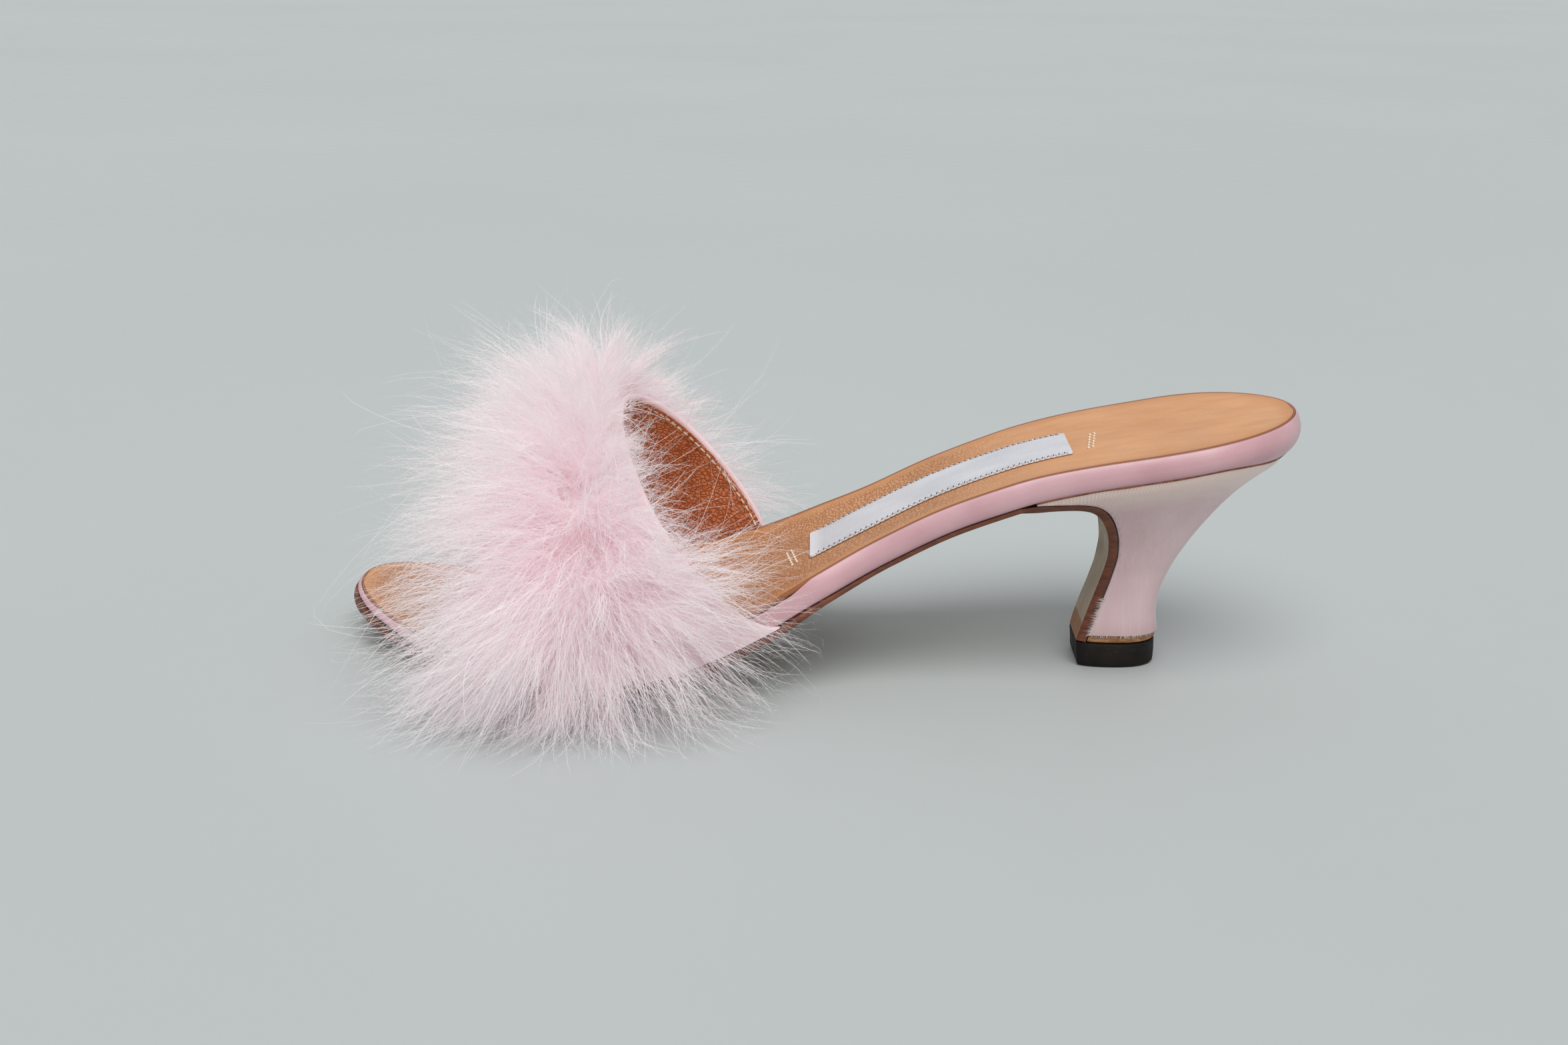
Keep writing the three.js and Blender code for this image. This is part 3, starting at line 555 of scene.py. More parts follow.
def ribbon_satin():
    f = Finish("silver_ribbon_satin", Sheen_Weight=0.3)
    warp, weft = f.wave(f.value("across"), 0.34), f.wave(f.value("along"), 0.5)
    broad = f.noise(120, 2, at=f.stretched(0.4, 1, 1))
    base = f.grade(broad, 0.3, 0.7, (224, 225, 231), (204, 206, 213))
    base = f.tint(base, f.plus(f.times(warp, 0.5), 0.5), (182, 186, 196), 0.22)
    base = f.tint(base, f.value("fold"), (240, 242, 246), 0.8)
    f.set("Base Color", f.tint(base, f.value("edge"), (232, 232, 236), 0.5))
    f.rough(f.noise(300, 2), 0.3, 0.42)
    f.relief((f.plus(warp, f.times(weft, 0.5)), 0.03, 0.5))
    return f.material


def thread(name, light, dark):
    f = Finish(name)
    twist = f.noise(2600, 2)
    f.set("Base Color", f.grade(twist, 0.4, 0.62, light, dark))
    f.rough(twist, 0.6, 0.8)
    f.relief((twist, 0.05, 0.7))
    return f.material


# Dark brown for the thin tube along the heel seat: painted shadow in the gap where the rim meets the heel
# cover
def painted_seam_shadow_finish():
    f = Finish("painted_seam_shadow")
    f.set("Base Color", f.grade(f.noise(500, 4, 0.6), 0.35, 0.7, (120, 62, 40), (170, 104, 74)))
    f.rough(f.noise(700, 2), 0.5, 0.8)
    f.relief((f.noise(900, 3), 0.08, 0.6))
    return f.material


def feather(name, root, tip):
    """Down whose colour runs from its root to its tip. Light passes through the thin barbs, and a faint glow
    at their roots stands in for the light that bounces about many times deep inside thick down."""
    f = Finish(name, Roughness=0.62, Specular_IOR_Level=0.3, Sheen_Weight=0.3)
    root, tip = tone(*root), tone(*tip)
    uneven = f.times(f.math("SUBTRACT", f.noise(60, 2), 0.5), 0.3)
    place = f.plus(f.value("tip"), uneven, clamp=True)
    middle = tuple(lerp(a, b, 0.62) for a, b in zip(root, tip))
    colour = f.ramp(place, (0.0, root), (0.42, middle), (1.0, tip))
    f.set("Base Color", colour)
    f.set("Emission Color", f.ramp(place, (0.0, (1.0, 0.66, 0.75, 1)), (0.6, (1.0, 0.84, 0.9, 1))))
    f.set("Emission Strength", f.ramp(place, (0.0, 0.115), (0.45, 0.07), (0.85, 0.01)))
    f.material.cycles.emission_sampling = "NONE"
    through = f.node("BsdfTranslucent", {"Color": colour})
    both = f.node("MixShader", {0: SEEN_THROUGH, 1: f.shader.outputs[0], 2: through.outputs[0]})
    f.tree.links.new(both.outputs[0], f.tree.nodes["Material Output"].inputs["Surface"])
    return f.material


rim_material = kid_leather("pink_rim_kid", (212, 170, 176), (196, 149, 157))
band_material = kid_leather("pink_band_kid", (252, 226, 229), (246, 214, 219))
sock_material, edge_material, face_material = sock_leather(), sole_edge_leather(), sole_face_leather()
satin_material, lining_material, lift_material = heel_satin(), lining_leather(), lift_leather()
rubber_material, ribbon_material, seam_shadow_material = top_piece_rubber(), ribbon_satin(), painted_seam_shadow_finish()
cream_thread = thread("cream_thread", (246, 232, 208), (222, 202, 172))
silver_thread = thread("silver_thread", (226, 228, 232), (176, 178, 184))
dark_thread = thread("dark_thread", (92, 88, 90), (62, 58, 60))
white_thread = thread("satin_fray", (246, 236, 232), (224, 206, 204))
down_material = feather("pink_down", (255, 242, 245), (255, 246, 249))
barb_material = feather("pale_marabou", (255, 244, 247), (254, 251, 252))
wisp_material = feather("white_wisps", (254, 250, 252), (255, 254, 254))

TIP_STATIONS, BODY_STATIONS = 26, 120
RUN = stations(TIP_STATIONS, BODY_STATIONS)[:, None]
SOCK_COLUMNS, UNDER_COLUMNS = 45, 9
# The sock's rounded edge from its top down: inset, up
SOCK_EDGE = [(0.12, -0.04), (0.03, -0.13), (0.0, -0.28), (0.0, -0.6), (0.05, -0.95)]
BORDER_WIDTH, BURNISH_WIDTH = 4.2, 0.5


def layer_object(name, levels, materials, values=None):
    """A layer of the shoe's bottom, from levels round its section: (side, up, out) over the stations."""
    rings = np.stack([last_point(RUN[:, 0], side, up, out) for side, up, out in levels], 1)
    faces = grid_faces(len(RUN), len(levels), True)
    return make_object(name, rings, faces, materials, values)


def make_sock():
    x = RUN[:, 0]
    top = stack_at(x)
    levels = [(s, top - dish_at(x, s), -0.35) for s in np.linspace(-1, 1, SOCK_COLUMNS)]
    levels += [(1, top + up, -inset) for inset, up in SOCK_EDGE]
    levels += [(s, top - SOCK_THICKNESS - dish_at(x, s), -0.1) for s in np.linspace(1, -1, UNDER_COLUMNS)]
    levels += [(-1, top + up, -inset) for inset, up in SOCK_EDGE[::-1]]
    half = (half_width(x / SOLE_LENGTH) * BALL_WIDTH / 2 * tip_cap(x))[:, None]
    side = np.array([[level[0] for level in levels]])
    from_tip = np.minimum(x, SOLE_LENGTH - x)[:, None]
    from_edge = np.minimum(half * (1 - np.abs(side)), from_tip)
    border = np.clip(1 - from_edge / BORDER_WIDTH, 0, 1) ** 0.7
    burnish = np.clip(1 - from_edge / BURNISH_WIDTH, 0, 1)
    burnish[:, SOCK_COLUMNS:] = 0.7
    seat = smooth((92 - x) / 40)[:, None] * np.ones_like(side)
    values = {"border": border, "burnish": burnish, "seat": seat}
    piece = layer_object("sock_leather", levels, [sock_material], values)
    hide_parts("sock")


def make_rim():
    x = RUN[:, 0]
    bulge, wrap, tuck = rim_out(x), SEAT_WRAP * wrap_share(x), SEAT_TUCK * wrap_share(x)
    foot = sole_at(x) + CLEARANCE - wrap
    bed = stack_at(x) - SOCK_THICKNESS - CLEARANCE
    lip = bed + RIM_LIP * np.minimum(bulge, 1)
    rounded = [(bed, 0 * x), (lerp(bed, lip, 0.7), 0.08 * bulge)]
    for up in 1 - np.linspace(0, 1, 20) ** 1.3:
        rounded.append((lerp(foot, lip, up), rim_profile(up) * bulge - tuck * (1 - up) ** 3))
    levels = [(s, bed - dish_at(x, s), 0 * x) for s in np.linspace(-1, 1, UNDER_COLUMNS)]
    levels += [(1, up, out) for up, out in rounded]
    levels += [(s, foot, -tuck) for s in np.linspace(1, -1, UNDER_COLUMNS)]
    levels += [(-1, up, out) for up, out in rounded[::-1]]
    piece = layer_object("pink_rim", levels, [rim_material])
    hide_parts("insole")


# The heel and the sole's flap down its breast
FOOT_CENTRE = TOP_PIECE_BACK + 0.6 * TOP_PIECE_LENGTH
FOOT_HALF = FOOT_CENTRE - TOP_PIECE_BACK
FOOT_EXPONENT = 2.4
OPEN_ANGLE = 5 / 6 * math.pi
LIFT_BOTTOM = TOP_PIECE_HEIGHT + CLEARANCE
HEEL_BOTTOM = LIFT_BOTTOM + LIFT_THICKNESS + CLEARANCE
BREAST_FOOT = TOP_PIECE_BACK + TOP_PIECE_LENGTH
FOOT_REACH = 9


def super_round(value, exponent=FOOT_EXPONENT):
    return np.sign(value) * np.abs(value) ** (2 / exponent)


def foot_point(share, side, z, grow=0.0):
    angle = np.asarray(share) * OPEN_ANGLE
    x = FOOT_CENTRE - (FOOT_HALF + grow) * super_round(np.cos(angle))
    y = FOOT_SIDE_SHIFT + side * (TOP_PIECE_WIDTH / 2 + grow) * super_round(np.sin(angle))
    return np.stack(np.broadcast_arrays(x, y, np.asarray(z, float)), -1)


def seat_point(share, side):
    x = WEDGE_TIP_AT * (1 - np.cos(share * np.pi / 2))
    return last_point(x, side, WAIST_THICKNESS - SEAT_WRAP * wrap_share(x), 0.3 - SEAT_TUCK * wrap_share(x))


def heel_point(share, side, depth):
    seat, foot = seat_point(share, side), foot_point(share, side, HEEL_BOTTOM)
    forward = lerp(flare_back(depth), 1 - depth, np.sin(share * np.pi / 2) ** 2)
    return np.stack([
        lerp(foot[..., 0], seat[..., 0], forward),
        lerp(foot[..., 1], seat[..., 1], flare_side(depth)),
        lerp(seat[..., 2], foot[..., 2], depth),
    ], -1)


def heel_side_at(x, z, side):
    """The y of the heel's side where it passes through a point of the side view."""
    low, high = np.full(np.shape(x), 0.35), np.ones(np.shape(x))
    for _ in range(30):
        middle = (low + high) / 2
        seat = seat_point(middle, side)
        there = heel_point(middle, side, np.clip((seat[..., 2] - z) / (seat[..., 2] - HEEL_BOTTOM), 0, 1))
        behind = there[..., 0] < x
        low, high = np.where(behind, middle, low), np.where(behind, high, middle)
    return there[..., 1]


FLAP_FOOT = LIFT_BOTTOM
WAIST_HEIGHT = sole_line(SOLE_PARTING_AT) + 0.5
breast_curve = np.stack([BREAST[:, 0] * BREAST_FOOT, lerp(FLAP_FOOT, WAIST_HEIGHT, BREAST[:, 1])], -1)
breast_line = spread(breast_curve, 70)


def breast_normals():
    line = np.vstack([[SOLE_PARTING_AT, sole_line(SOLE_PARTING_AT)], breast_line])
    ways = line[2:] - line[:-2]
    normals = np.stack([ways[:, 1], -ways[:, 0]], -1)
    normals = np.vstack([normals, [-1, 0]])
    slope = sole_slope(SOLE_PARTING_AT)
    normals[0] = unit(normals[0]) + unit(np.array([-slope, 1]))
    return unit(normals)


breast_way = breast_normals()


def breast_at(up):
    return breast_line + up * breast_way


FLAP_BACK = breast_at(WAIST_THICKNESS + CLEARANCE)


def flap_back_at(z):
    line = FLAP_BACK[FLAP_BACK[:, 1] < WAIST_HEIGHT - 6][::-1]
    return np.interp(z, line[:, 1], line[:, 0])


REST_HALF, EDGE_LIFT = 0.42, 1.1


def crown(side):
    return EDGE_LIFT * smooth((np.abs(side) - REST_HALF) / (1 - REST_HALF)) ** 2


def flange(x):
    under = CLEARANCE + BAND_EASE + BAND_WALL + 0.1
    rear = lerp(0.4, under, smooth((x - BAND_REAR_OUTSIDE) / 14 + 0.9))
    front = lerp(under, 1.5, smooth((x - BAND_FRONT_INSIDE) / 14))
    return np.where(x < 0.75 * SOLE_LENGTH, rear, front)


TOP_COLUMNS, FACE_COLUMNS = 9, 33
# The sole's rounded edge from its top down: inset, share of the thickness
SOLE_SIDES = [(0.14, 0.93), (0.04, 0.8), (0.0, 0.62), (0.0, 0.42), (0.05, 0.22), (0.2, 0.08)]


def make_outsole():
    x = np.r_[RUN[RUN[:, 0] > SOLE_PARTING_AT, 0][::-1], SOLE_PARTING_AT]
    top_sides, face_sides = np.linspace(-1, 1, TOP_COLUMNS), np.linspace(1, -1, FACE_COLUMNS)
    out, thick = flange(x), sole_at(x)

    def fore_edge(side, levels):
        return [
            last_point(x, side, up * thick + (1 - up) ** 2 * EDGE_LIFT, out - inset)
            for inset, up in levels
        ]

    def flap_at(up, inset, sides):
        at = breast_at(up * WAIST_THICKNESS)
        low = np.maximum(at[:, 1], FLAP_FOOT)
        inner, outer = (heel_side_at(at[:, 0], low, s) - s * inset for s in (-1, 1))
        return [np.stack([at[:, 0], lerp(inner, outer, (s + 1) / 2), at[:, 1]], -1) for s in sides]

    fore = [last_point(x, s, thick, out - 0.25) for s in top_sides]
    fore += fore_edge(1, SOLE_SIDES)
    fore += [last_point(x, s, crown(s), out - 0.45) for s in face_sides]
    fore += fore_edge(-1, SOLE_SIDES[::-1])
    flap = flap_at(1, 0.15, top_sides)
    for inset, up in SOLE_SIDES:
        flap += flap_at(up, inset * 0.8, [1])
    flap += flap_at(0, 0.28, face_sides)
    for inset, up in SOLE_SIDES[::-1]:
        flap += flap_at(up, inset * 0.8, [-1])
    rings = np.concatenate([np.stack(fore, 1), np.stack(flap, 1)], 0)
    rows, cols = rings.shape[:2]
    first_face = TOP_COLUMNS + len(SOLE_SIDES)
    last_face = first_face + FACE_COLUMNS
    ring = np.arange(cols)
    slots = np.tile((ring >= first_face) & (ring < last_face - 1), rows - 1)
    height = rings[..., 2]
    ground = smooth((rings[..., 0] - 130) / 20) * smooth((2.5 - height) / 2.5)
    bare = smooth((15 - height) / 8) * (rings[..., 0] < 80)
    side = np.zeros(cols)
    side[TOP_COLUMNS:first_face], side[last_face:] = 1, -1
    rings[..., 1] += 0.12 * wobble(rings, 14, 3) * side
    end = ladder((rows - 1) * cols, cols, False)
    piece = make_object(
        "leather_sole", rings, grid_faces(rows, cols, True).tolist() + end, [edge_material, face_material],
        {"ground": ground, "flap": bare}, np.r_[slots, np.zeros(len(end), bool)], sharp=50,
    )
    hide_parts("outsole")


def make_heel():
    shares = np.linspace(0, 1, 61)
    depth = np.r_[np.linspace(0, 0.02, 3)[:-1], np.linspace(0.02, 1, 66)][:, None]
    sides = heel_point(shares[::-1][None, :], -1, depth), heel_point(shares[1:][None, :], 1, depth)
    rings = np.concatenate(sides, 1)
    rows, cols = rings.shape[:2]
    step = np.linalg.norm(np.diff(rings[rows * 2 // 3], axis=0), axis=1)
    turn = np.tile(np.r_[0, np.cumsum(step)], (rows, 1))
    seam = smooth(1.15 - depth / 0.24) * np.ones((1, cols))
    tip = smooth((rings[..., 0] - 46) / 14)
    low = smooth((13 - rings[..., 2]) / 6)
    values = {"turn": turn, "seam": np.maximum(seam, tip), "height": rings[..., 2], "low": low}
    faces = grid_faces(rows, cols, True).tolist() + ladders(rows, cols)
    form = make_object("heel_cover", rings, faces, [satin_material], values)
    top, ahead = FLAP_BACK[0][1], SOLE_LENGTH / 2
    below = [[FLAP_BACK[-1][0], 0], [ahead, 0], [ahead, top]]
    profile = [[SOLE_PARTING_AT + 3, top], *FLAP_BACK.tolist(), *below]
    count = len(profile)
    walls = [[x, side * BALL_WIDTH, z] for side in (-1, 1) for x, z in profile]
    shell = [(i, (i + 1) % count, count + (i + 1) % count, count + i) for i in range(count)]
    cutter = make_object("cutter", walls, shell + end_caps(0, count, count), [satin_material])
    cut = form.modifiers.new("cut", "BOOLEAN")
    cut.operation, cut.object, cut.solver = "DIFFERENCE", cutter, "EXACT"
    bpy.context.view_layer.update()
    whole = bpy.data.meshes.new_from_object(form.evaluated_get(bpy.context.evaluated_depsgraph_get()))
    form.modifiers.clear()
    form.data = whole
    whole.shade_smooth()
    whole.set_sharp_from_angle(angle=math.radians(38))
    bpy.data.objects.remove(cutter)
    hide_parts("heel")


def foot_ring(z, front, grow, steps=46):
    across = np.clip((front - FOOT_CENTRE) / (FOOT_HALF + grow), 0, 0.99)
    last_share = math.acos(-(across ** (FOOT_EXPONENT / 2))) / OPEN_ANGLE
    shares = np.linspace(0, last_share, steps)
    return np.concatenate([foot_point(shares[::-1], -1, z, grow), foot_point(shares[1:], 1, z, grow)])


def foot_slab(name, rings, wear, material):
    """A flat layer under the heel from its rings, with its wall worn by wear: depth, scale, seed."""
    rings = np.array(rings)
    depth, scale, seed = wear
    worn = (depth * wobble(rings, scale, seed))[..., None]
    rings[1:-1, :, :2] += (worn * (rings[..., :2] - [FOOT_CENTRE, FOOT_SIDE_SHIFT]) / FOOT_REACH)[1:-1]
    rows, cols = rings.shape[:2]
    faces = grid_faces(rows, cols, True).tolist() + ladders(rows, cols)
    return make_object(name, rings, faces, [material], sharp=35)


# The top piece and the lift from below: height or share of it, out
TOP_PIECE_WALL = [
    (0.0, -0.7), (0.18, -0.3), (0.5, -0.08), (1.2, 0.0), (3.0, 0.06), (4.8, 0.03), (5.7, 0.0), (6.05, -0.14),
    (6.2, -0.4),
]
LIFT_WALL = [(0.0, -0.3), (0.12, -0.05), (0.35, 0.05), (0.65, -0.12), (0.88, 0.0), (1.0, -0.25)]


def make_foot():
    rings = []
    upper_front = FLAP_BACK[-1][0] + WAIST_THICKNESS + CLEARANCE
    for z, grow in TOP_PIECE_WALL:
        front = lerp(BREAST_FOOT, upper_front, z / TOP_PIECE_HEIGHT) + min(grow, 0)
        rings.append(foot_ring(z, front, grow))
    piece = foot_slab("rubber_top_piece", rings, (0.1, 7, 5), rubber_material)
    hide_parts("top_piece")
    rings = []
    for share, grow in LIFT_WALL:
        z = LIFT_BOTTOM + share * LIFT_THICKNESS
        rings.append(foot_ring(z, float(flap_back_at(z)), grow))
    piece = foot_slab("leather_heel_lift", rings, (0.25, 3, 9), lift_material)
    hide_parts("leather_lift")


# The vamp band
ARCH_EXPONENT, ARCH_LEAN = 2.3, -0.09 * BALL_WIDTH
BULGE_OUTSIDE, BULGE_INSIDE = 0.04 * BALL_WIDTH, 0.013 * BALL_WIDTH
# The band's folded edges: in from the edge, share of the wall still missing
BAND_EDGE = np.array([(0.0, 0.5), (0.18, 0.22), (0.5, 0.06), (0.95, 0.0)])
BAND_INSET, BAND_COLUMNS = 1.4, 52


def bed_edge(x, side):
    station = np.asarray(x, float)
    for _ in range(4):
        slope = sole_slope(station)
        station = x + (sole_at(station) + CLEARANCE) * slope / np.sqrt(1 + slope**2)
    return last_point(station, side, sole_at(station) + CLEARANCE, CLEARANCE + BAND_EASE)


def arch_shift(angle):
    """How far the band's section leans and swells to the side of an even arch."""
    c, s = np.cos(angle), np.sin(angle)
    return np.where(c > 0, BULGE_OUTSIDE, BULGE_INSIDE) * 2 * s * c + ARCH_LEAN * s**4


def arch_rise(x, foot):
    return ridge(x / SOLE_LENGTH) * INSTEP_HEIGHT - BAND_WALL - foot


def arch_point(x, angle, off):
    x, angle, off = np.broadcast_arrays(*(np.asarray(v, float) for v in (x, angle, off)))
    outside, inside = bed_edge(x, 1), bed_edge(x, -1)
    middle = (outside + inside) / 2
    c, s = np.cos(angle), np.sin(angle)
    half = (outside[..., 1] - inside[..., 1]) / 2 + off
    foot = lerp(inside[..., 2], outside[..., 2], (1 + c) / 2)
    height = arch_rise(x, middle[..., 2]) + off
    y = middle[..., 1] + half * super_round(c, ARCH_EXPONENT) + arch_shift(angle)
    return np.stack([x, y, foot + height * np.abs(s) ** (2 / ARCH_EXPONENT)], -1)


def band_rear(angle):
    s = np.maximum(0, np.sin(angle))
    outer = lerp(BAND_REAR_OUTSIDE, BAND_REAR_TOP, s**0.67)
    inner = lerp(BAND_REAR_INSIDE, BAND_REAR_TOP, s**1.2)
    return lerp(outer, inner, smooth((angle / np.pi - 0.35) / 0.3))


def band_front(angle):
    s = np.maximum(0, np.sin(angle)) ** 2
    foot = np.where(angle < np.pi / 2, BAND_FRONT_OUTSIDE, BAND_FRONT_INSIDE)
    return lerp(foot, BAND_FRONT_TOP, s)


def arch_angles(count, margin=0.0):
    even = np.linspace(0, 1, count)
    return lerp(margin, np.pi - margin, even - 0.07 * np.sin(2 * np.pi * even))


def make_band():
    angles = arch_angles(150)[:, None]
    rear, front = band_rear(angles), band_front(angles)
    inset, missing = BAND_EDGE.T
    run = lerp(rear + BAND_INSET, front - BAND_INSET, np.linspace(0, 1, BAND_COLUMNS)[None, :])
    inner_x = np.concatenate([rear + inset, run, front - inset[::-1]], 1)
    inner_off = np.r_[missing, np.zeros(BAND_COLUMNS), missing[::-1]] * BAND_WALL
    rings_x = np.concatenate([inner_x, inner_x[:, ::-1]], 1)
    offs = np.r_[inner_off, BAND_WALL - inner_off[::-1]]
    points = arch_point(rings_x, angles, offs)
    rows, cols = points.shape[:2]
    lining = np.zeros(cols, int)
    lining[len(BAND_EDGE) - 1 : cols // 2 - len(BAND_EDGE) + 1] = 1
    ends = ladders(rows, cols)
    piece = make_object(
        "vamp_band", points, grid_faces(rows, cols, True).tolist() + ends, [band_material, lining_material],
        slots_of_faces=np.r_[np.tile(lining, rows - 1), np.zeros(len(ends), int)], sharp=60,
    )
    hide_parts("upper")


# A stitch as a rounded bead: along, size
BEAD = [(-0.5, 0.25), (-0.44, 0.75), (-0.3, 1.0), (0.3, 1.0), (0.44, 0.75), (0.5, 0.25)]
BEAD_SIDES, BEAD_FLATNESS, BEAD_ARCH = 7, 0.7, 0.25


def capsules(name, starts, ends, radius, material, ups=None):
    """Short thread stitches as rounded beads from start to end."""
    ways = unit(ends - starts)
    across = unit(np.cross(ways, [0, 0, 1.0] if ups is None else ups))
    ups = np.cross(across, ways)
    points, faces = [], []
    for start, end, side, up in zip(starts, ends, across, ups):
        first = len(points) * BEAD_SIDES
        ring = circle(side, BEAD_FLATNESS * up, BEAD_SIDES)
        for along, size in BEAD:
            arch = up * BEAD_ARCH * radius * (1 - (2 * along) ** 2)
            points.append(lerp(start, end, along + 0.5) + arch + radius * size * ring)
        faces += grid_faces(len(BEAD), BEAD_SIDES, True, first).tolist()
        faces += end_caps(first, first + (len(BEAD) - 1) * BEAD_SIDES, BEAD_SIDES)
    return make_object(name, np.concatenate(points), faces, [material], weld=False)


def on_sock(x, y, lift):
    """A point at a floor place x, y over the sock's top face."""
    half = half_width(x / SOLE_LENGTH) * BALL_WIDTH / 2
    side = (y - centre(x / SOLE_LENGTH) * BALL_WIDTH) / half
    return last_point(x, side, stack_at(x) - dish_at(x, side) + lift, 0)


BAND_STITCH, BAND_STITCH_PITCH, BAND_STITCH_INSET = 1.55, 2.15, 2.1
SOCK_STITCH, SOCK_STITCH_PITCH, SOCK_STITCHES = 1.5, 2.3, 6
# The rows at the label's ends: along, lean
SOCK_STITCH_ROWS = [(LABEL_FROM - 5.2, 1.2), (LABEL_FROM + LABEL_LENGTH + 4.6, -1.0)]


def make_stitches():
    angles = arch_angles(2400, 0.05)
    edge = arch_point(band_rear(angles) + BAND_STITCH_INSET, angles, -0.04)
    run = np.r_[0, np.cumsum(np.linalg.norm(np.diff(edge, axis=0), axis=1))]
    marks = np.arange(0.6, run[-1] - 2, BAND_STITCH_PITCH)
    starts, ends = (
        np.stack([np.interp(where, run, edge[:, k]) for k in range(3)], -1)
        for where in (marks, marks + BAND_STITCH)
    )
    middle = np.interp(marks, run, angles)
    inward = -np.stack([0 * middle, np.cos(middle), np.sin(middle)], -1)
    capsules("band_stitches", starts, ends, 0.27, cream_thread, ups=inward)
    starts, ends = [], []
    for x, lean in SOCK_STITCH_ROWS:
        for row in (-0.55, 0.55):
            for k in range(SOCK_STITCHES):
                y = SOCK_STITCH_PITCH * k - 6.4
                along, across = x + row + lean * y / 8, y + 0.4 * row
                starts.append(on_sock(along, across, 0.1))
                ends.append(on_sock(along, across + SOCK_STITCH, 0.1))
    capsules("sock_stitches", np.array(starts), np.array(ends), 0.3, cream_thread)


LABEL_ROWS, LABEL_COLUMNS = 241, 41
EDGE_STITCH_PITCH = 1.25


def make_label():
    along = np.linspace(0, LABEL_LENGTH, LABEL_ROWS)[:, None]
    across = np.linspace(-0.5, 0.5, LABEL_COLUMNS)[None, :]
    picot = 0.28 * np.abs(np.sin(along * np.pi / EDGE_STITCH_PITCH)) ** 0.6
    y = across * (LABEL_WIDTH + 2 * picot * smooth((np.abs(across) - 0.42) / 0.08))
    along = along + 0 * y
    x = LABEL_FROM + along
    pucker = 0.05 * np.sin(along * 2 * np.pi / 9 + 3 * across) * (1 - np.abs(2 * across) ** 3)
    fold = smooth(1 - (LABEL_LENGTH - along) / 3.4)
    sunk = 0.16 * smooth((np.abs(across) - 0.44) / 0.06)
    edge = smooth((np.abs(across) - 0.44) / 0.03) + 0 * y
    top = on_sock(x, y, CLEARANCE + LABEL_THICKNESS - 0.12 + pucker + 0.22 * fold - sunk)
    base = on_sock(x, y, CLEARANCE - 0.08)
    points = np.concatenate([top.reshape(-1, 3), base.reshape(-1, 3)])
    count = y.size
    index = np.arange(count).reshape(y.shape)
    loop = np.concatenate([index[0, :-1], index[:-1, -1], index[-1, :0:-1], index[:0:-1, 0]])
    after = np.roll(loop, -1)
    faces = np.concatenate([
        grid_faces(*y.shape, False),
        grid_faces(*y.shape, False, count)[:, ::-1],
        np.stack([loop, loop + count, after + count, after], -1),
    ])
    shades = {"across": y, "along": along, "edge": edge, "fold": fold}
    values = {key: np.tile(value.ravel(), 2) for key, value in shades.items()}
    material = [ribbon_material]
    piece = make_object("woven_ribbon_label", points, faces, material, values, sharp=55)
    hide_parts("label")
    edges = (("ribbon_edge_light", 0.0, 0.21, silver_thread), ("ribbon_edge_dark", 0.62, 0.13, dark_thread))
    for name, shift, radius, material in edges:
        marks = np.arange(1.0 + shift, LABEL_LENGTH - 1, EDGE_STITCH_PITCH)
        starts, ends = [], []
        for side in (-1, 1):
            y = side * (LABEL_WIDTH / 2 - 0.75) + 0 * marks
            starts.append(on_sock(LABEL_FROM + marks, y, 0.74))
            ends.append(on_sock(LABEL_FROM + marks + 0.35, y + side * 0.85, 0.66))
        capsules(name, np.concatenate(starts), np.concatenate(ends), radius, material)


def tube(name, path, radius, material, around=8):
    way = unit(np.gradient(path, axis=0))
    across = unit(np.cross(way, [0, 0, 1.0]))
    size = radius * (1 + 0.25 * wobble(path, 5, 21))[:, None, None]
    rings = path[:, None] + size * circle(across, np.cross(across, way), around)
    faces = grid_faces(len(path), around, True).tolist() + end_caps(0, (len(path) - 1) * around, around)
    return make_object(name, rings, faces, [material], weld=False)


# A thin dark tube along the heel seat, where the rim meets the heel cover, is a painted shadow line
def make_seam_shadow():
    x = WEDGE_TIP_AT * (1 - np.cos(np.linspace(1, 0.02, 90) * np.pi / 2))
    level = WAIST_THICKNESS - SEAT_WRAP * wrap_share(x) + 0.15
    out = 0.3 - SEAT_TUCK * wrap_share(x) - 0.12
    path = np.concatenate([last_point(x, 1, level, out), last_point(x[::-1], -1, level, out)])
    tube("seat_seam_painted_shadow", path, 0.34, seam_shadow_material)


def fibres(starts, ways, lengths, width, bend):
    """Tiny tapered three-sided fibres, as points and triangles."""
    count = len(starts)
    ways = unit(ways)
    across = unit(np.cross(ways, rng.normal(size=(count, 3))))
    ring = width * circle(across, np.cross(ways, across), 3)
    reach = ways * lengths[:, None]
    middle = starts + 0.5 * reach + 0.3 * bend
    tips = starts + reach + bend
    points = np.concatenate([starts[:, None] + ring, middle[:, None] + 0.7 * ring, tips[:, None]], 1)
    faces = []
    for k in range(3):
        j = (k + 1) % 3
        faces += [(k, j, 3 + j), (k, 3 + j, 3 + k), (3 + k, 3 + j, 6)]
    base = np.arange(count)[:, None, None] * points.shape[1]
    return points.reshape(-1, 3), (base + np.array(faces)).reshape(-1, 3)


BREAST_FIBRES, LIFT_FIBRES, FRAY_TOP, FRAY_SHARE = 340, 560, 18, 0.74


